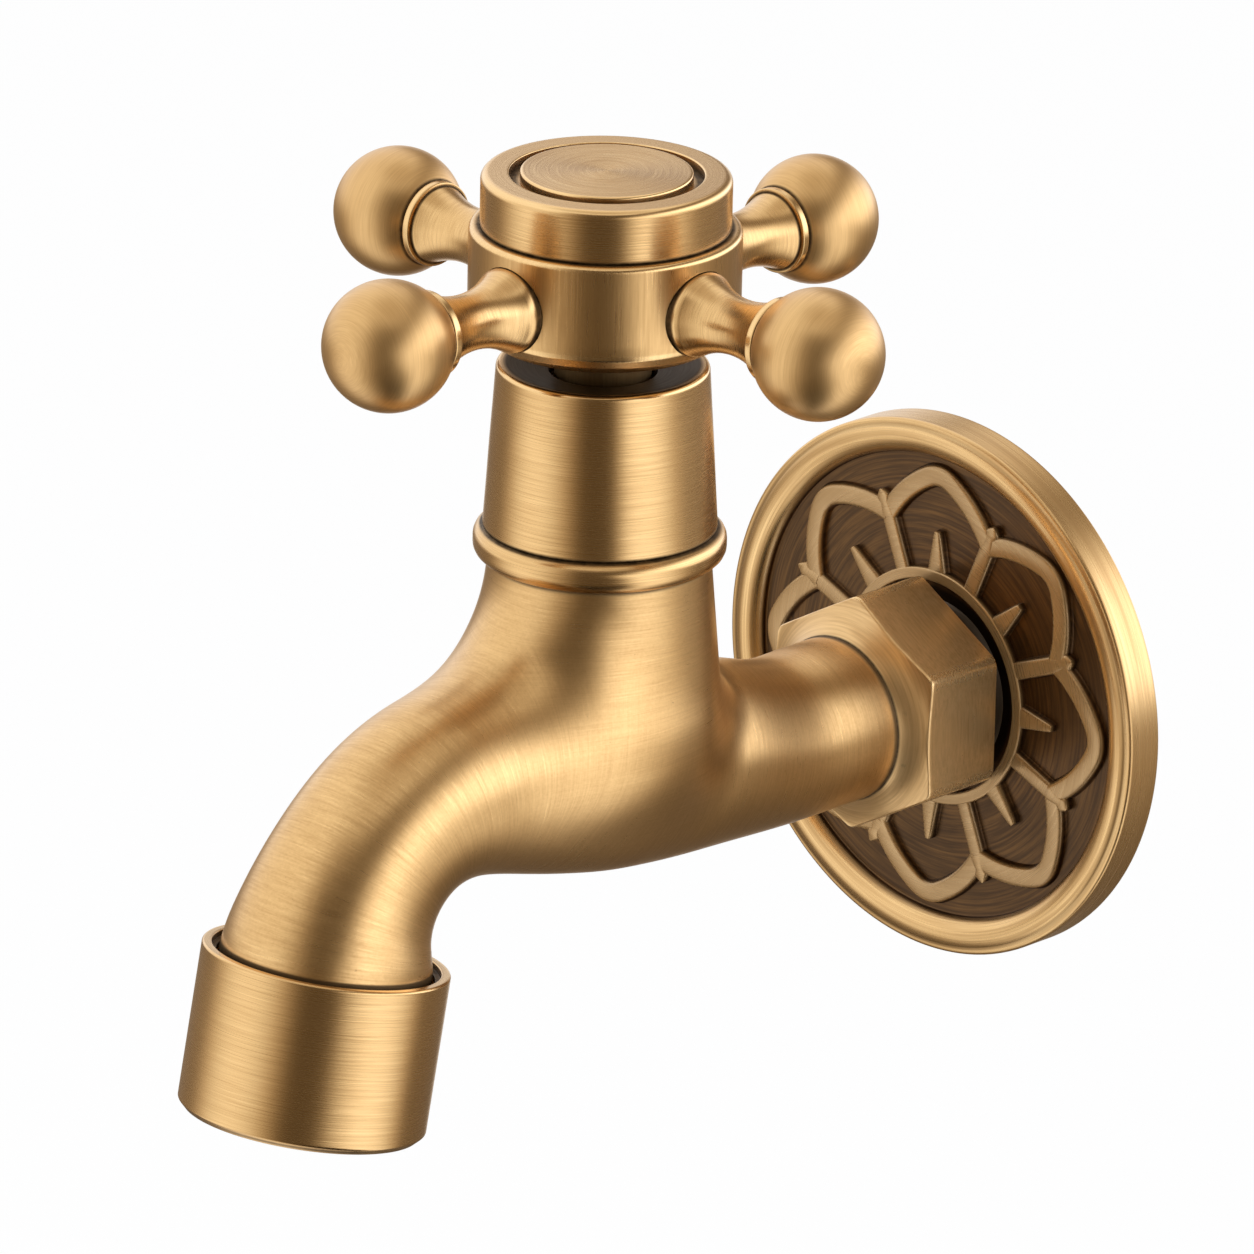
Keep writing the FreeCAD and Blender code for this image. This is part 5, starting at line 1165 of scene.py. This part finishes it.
def build_nozzle():
    """Wide sleeve round the outlet with a chamfered lower edge."""
    seams = [(SLEEVE_MOUTH_R - 0.3, SLEEVE_MOUTH - 0.1, 0.9), (SLEEVE_R - 0.25, SLEEVE_END + 0.15, 0.5)]
    material = turned_brass("nozzle_brass", NOZZLE, seams=seams, wear_and_highlight=[(14.0, 0.0, 0.5)])
    walls = [(SLEEVE_R, level) for level in (-14.0, -9.0, -4.0)]
    sleeve = lathe("nozzle_sleeve", [
        (SLEEVE_MOUTH_R, 0.0, 0.15), (SLEEVE_MOUTH_R, SLEEVE_MOUTH, 0.1),
        (SLEEVE_SHOULDER_R, SLEEVE_MOUTH, 0.12), (SLEEVE_SHOULDER_R, SLEEVE_SHOULDER),
        (SLEEVE_BORE_R, SLEEVE_SHOULDER),
        (SLEEVE_BORE_R, SLEEVE_BORE_END), (OUTLET_R, SLEEVE_BORE_END, 0.1), (OUTLET_R, SLEEVE_END, 0.35),
        (SLEEVE_R - SLEEVE_CHAMFER, SLEEVE_END, 0.2), (SLEEVE_R, SLEEVE_END + SLEEVE_CHAMFER, 0.35), *walls,
        (SLEEVE_R, 0.0, 0.3),
    ], NOZZLE, material, 256)
    settle(sleeve, "nozzle", "turned_brass", "nozzle_collar")


# ---------------------------------------------------------------- pieces that keep their CAD solids


def dress_inner_pieces():
    """Finishes for the headwork's and the aerator's pieces."""
    bright = turned_brass("headwork_brass", UPRIGHT, lines=3.0, tint=0.3, rough=0.25, aniso=0.0)
    stem = turned_brass("stem_brass", UPRIGHT, lines=3.0, tint=0.4, rough=0.3, aniso=0.0)
    rubber = plain_finish("seal_rubber", rgb(34, 33, 32), 0.55, 0.0, 2.5)
    plastic = plain_finish("white_plastic", rgb(222, 220, 212), 0.4, 0.0)
    ceramic = plain_finish("disc_ceramic", rgb(236, 233, 224), 0.15, 0.0, 1.0, 0.003)
    steel = plain_finish("stainless_steel", rgb(176, 176, 178), 0.28, 1.0, 4.0)
    finishes = {
        "cartridge_body": bright, "spindle": stem, "retaining_clip": steel, "handle_screw": steel,
        "inlet_o_ring": rubber, "cartridge_o_ring": rubber, "spindle_o_rings": rubber, "seat_seal": rubber,
        "aerator_washer": rubber, "glide_washer": plastic, "fixed_disc": ceramic, "moving_disc": ceramic,
        "aerator_housing": plastic, "diffuser_plate": plastic, "outlet_grid": plastic,
    }
    for node, material in finishes.items():
        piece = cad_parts[node]
        piece.data.materials.clear()
        piece.data.materials.append(material)


# ---------------------------------------------------------------- studio

# Floor, the point that the light is centred on, and the lamp, in metres and watts.
FLOOR_UP = -0.16
FLOOR_SIZE = 30
MIDDLE = Vector((0, -0.06, 0.03))
KEY_SPOT, KEY_SIZE, KEY_WATTS = Vector((-0.25, -0.75, 0.85)), 0.5, 3.0

# Light levels of the surround: boxes right and left, below and above the horizon, and the room.
RIGHT_LOW, LEFT_LOW, RIGHT_HIGH, LEFT_HIGH = 1.5, 1.15, 2.2, 1.05
ROOM_LEVEL = 0.26
WARM, WHITE, COOL = (1.0, 0.76, 0.52, 1), (1, 1, 1, 1), (0.97, 1.03, 1.18, 1)
FLOOR_GREY = (0.82, 0.82, 0.82, 1)

# Photograph: its size in pixels, the pixel of the point the camera aims at, and the scale there.
PHOTO = 1254
AIM_X, AIM_Y = 597.693, 641.839
PIXELS_PER_METRE = 8543.0
AIM = Vector((0, -HANDLE_OUT, 20)) * MM
CAMERA_FAR = 1.3399
CAMERA_ROUND, CAMERA_DOWN, CAMERA_ROLL = map(math.radians, (45.0, 20.52, 1.125))
SENSOR = 36


def surround(web, x, y, up):
    """Level and tint of the light that comes from a direction, and the white backdrop's place.

    Angles are in degrees: turn is 0 on the camera's side and positive to its right, height is 0
    at the horizon. Each step goes from where a part of the light starts to where it is full.
    """
    toward, right = (x - y) * math.sqrt(0.5), (x + y) * math.sqrt(0.5)
    flat = (x * x + y * y) ** 0.5
    turn = right.math("ARCTAN2", toward) * math.degrees(1)
    height = up.math("ARCTAN2", flat) * math.degrees(1)
    back = abs(turn)
    # Two boxes below the horizon, right and left of the dark camera side.
    lean = height.step(-15, -22) * 6
    slid = turn - lean
    low_right = (slid + (height + 13) * 0.3).step(10, 32) * slid.step(96, 46)
    slid = turn + lean * 0.8
    low_left = slid.step(-13, -66) * slid.step(-118, -74)
    low = low_right * RIGHT_LOW + low_left * LEFT_LOW
    # A dark arc climbs from the camera side over to the right: above it the left light and
    # the roof run together, below it the right light reaches round.
    above = (up * 0.604 - toward * 0.053 - right * 0.796) / (x * x + y * y + up * up) ** 0.5
    high_right = above.step(-0.04, -0.5) * height.step(64, 44)
    roof = grow(turn.step(-14, -66), height.step(42, 64))
    side = back.step(98, 132) * height.step(15, 40)
    high_left = above.step(0.06, 0.33) * grow(roof, side) * (1 - height.step(55, 78) * 0.5)
    high = high_right * RIGHT_HIGH + high_left * LEFT_HIGH
    over_horizon = (height + back.step(70, 88) * 8).step(-4, 12)
    room = ROOM_LEVEL - back.step(48, 16) * 0.14 - height.step(-24, -50) * 0.1
    level = low + (high - low) * over_horizon + room
    backdrop = back.step(158, 174) * height.step(12, 0) * height.step(-46, -28)
    level = level + (1.0 - level) * backdrop
    tint = web.mix((level - 0.1).math("MINIMUM", 1.0), WARM, WHITE)
    tint = web.mix((level - 0.8) * 0.9, tint, COOL)
    return level, tint, backdrop


def ray_kinds(web, backdrop):
    """Rays that meet plain white, seen directly or mirrored in the backdrop, and mirrored rays."""
    node = web.add("LightPath").socket.node
    names = ("Is Camera Ray", "Is Glossy Ray", "Is Transmission Ray")
    camera, glossy, through = (Wire(web, node.outputs[name]) for name in names)
    return (camera + through + glossy * backdrop).math("MINIMUM", 1.0), glossy


def build_floor():
    """Pale floor that looks white, keeps a soft shadow and mirrors as the surround does."""
    bpy.ops.mesh.primitive_plane_add(size=FLOOR_SIZE)
    floor = bpy.context.object
    floor.name = "studio_floor"
    floor.data.transform(Matrix.Translation((0, 0, FLOOR_UP)))
    material, web = new_material("pale_floor")
    x, y, up = web.split(web.add("TexCoord", None, out=3))
    level, tint, backdrop = surround(web, x - MIDDLE.x, y - MIDDLE.y, up - MIDDLE.z)
    seen, glossy = ray_kinds(web, backdrop)
    pale = web.add("BsdfPrincipled", None, Base_Color=FLOOR_GREY, Roughness=0.9)
    white = web.add("Emission", None, WHITE, 1.0)
    shine = web.add("Emission", None, tint, level)
    plain = web.add("MixShader", None, seen * 0.93, pale, white)
    web.add("OutputMaterial", None, web.add("MixShader", None, glossy, plain, shine))
    floor.data.materials.append(material)
    floor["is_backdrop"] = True


def build_light():
    """White surround with soft boxes left and right, and one soft lamp that isn't mirrored."""
    world = bpy.data.worlds.new("studio")
    bpy.context.scene.world = world
    world.use_nodes = True
    web = Web(world.node_tree)
    level, tint, backdrop = surround(web, *web.split(web.add("TexCoord", None, out=0)))
    seen, _ = ray_kinds(web, backdrop)
    strength = level + (1.0 - level) * seen
    web.add("OutputWorld", None, web.add("Background", None, web.mix(seen, tint, WHITE), strength))

    key = bpy.data.lights.new("soft_key", "AREA")
    key.shape, key.size, key.energy = "SQUARE", KEY_SIZE, KEY_WATTS
    lamp = bpy.data.objects.new("soft_key", key)
    turn = (MIDDLE - KEY_SPOT).to_track_quat("-Z", "Y")
    lamp.matrix_world = Matrix.LocRotScale(KEY_SPOT, turn, None)
    lamp.visible_glossy = False
    bpy.context.scene.collection.objects.link(lamp)


def build_camera():
    """Camera at the photograph's viewing angle: 45 degrees round, 20.5 degrees down, slight roll."""
    level = math.cos(CAMERA_DOWN)
    ahead = Vector((-math.sin(CAMERA_ROUND) * level, math.cos(CAMERA_ROUND) * level, -math.sin(CAMERA_DOWN)))
    across = Vector((math.cos(CAMERA_ROUND), math.sin(CAMERA_ROUND), 0))
    above = across.cross(ahead)
    right = across * math.cos(CAMERA_ROLL) + above * math.sin(CAMERA_ROLL)
    up = above * math.cos(CAMERA_ROLL) - across * math.sin(CAMERA_ROLL)
    camera = bpy.data.cameras.new("camera")
    camera.sensor_width = SENSOR
    camera.lens = SENSOR * PIXELS_PER_METRE * CAMERA_FAR / PHOTO
    camera.shift_x = (PHOTO / 2 - AIM_X) / PHOTO
    camera.shift_y = (AIM_Y - PHOTO / 2) / PHOTO
    camera.clip_start = 0.01
    holder = bpy.data.objects.new("camera", camera)
    turn = Matrix((right, up, -ahead)).transposed()
    holder.matrix_world = Matrix.Translation(AIM - ahead * CAMERA_FAR) @ turn.to_4x4()
    bpy.context.scene.collection.objects.link(holder)
    bpy.context.scene.camera = holder


build_flange()
build_tailpiece()
build_casting()
build_bead_ring()
build_shroud()
build_cap_ring()
build_index_disc()
build_hub()
for arm_side, arm_degrees in SIDES.items():
    build_arm(arm_side, arm_place(arm_degrees))
    build_knob(arm_side, arm_place(arm_degrees))
build_nozzle()
dress_inner_pieces()
build_floor()
build_light()
build_camera()
bpy.context.scene.view_settings.view_transform = "Standard"

boxes = {"cad": cad_box, "visual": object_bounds()}
{name: [list(corner) for corner in box] for name, box in boxes.items()}
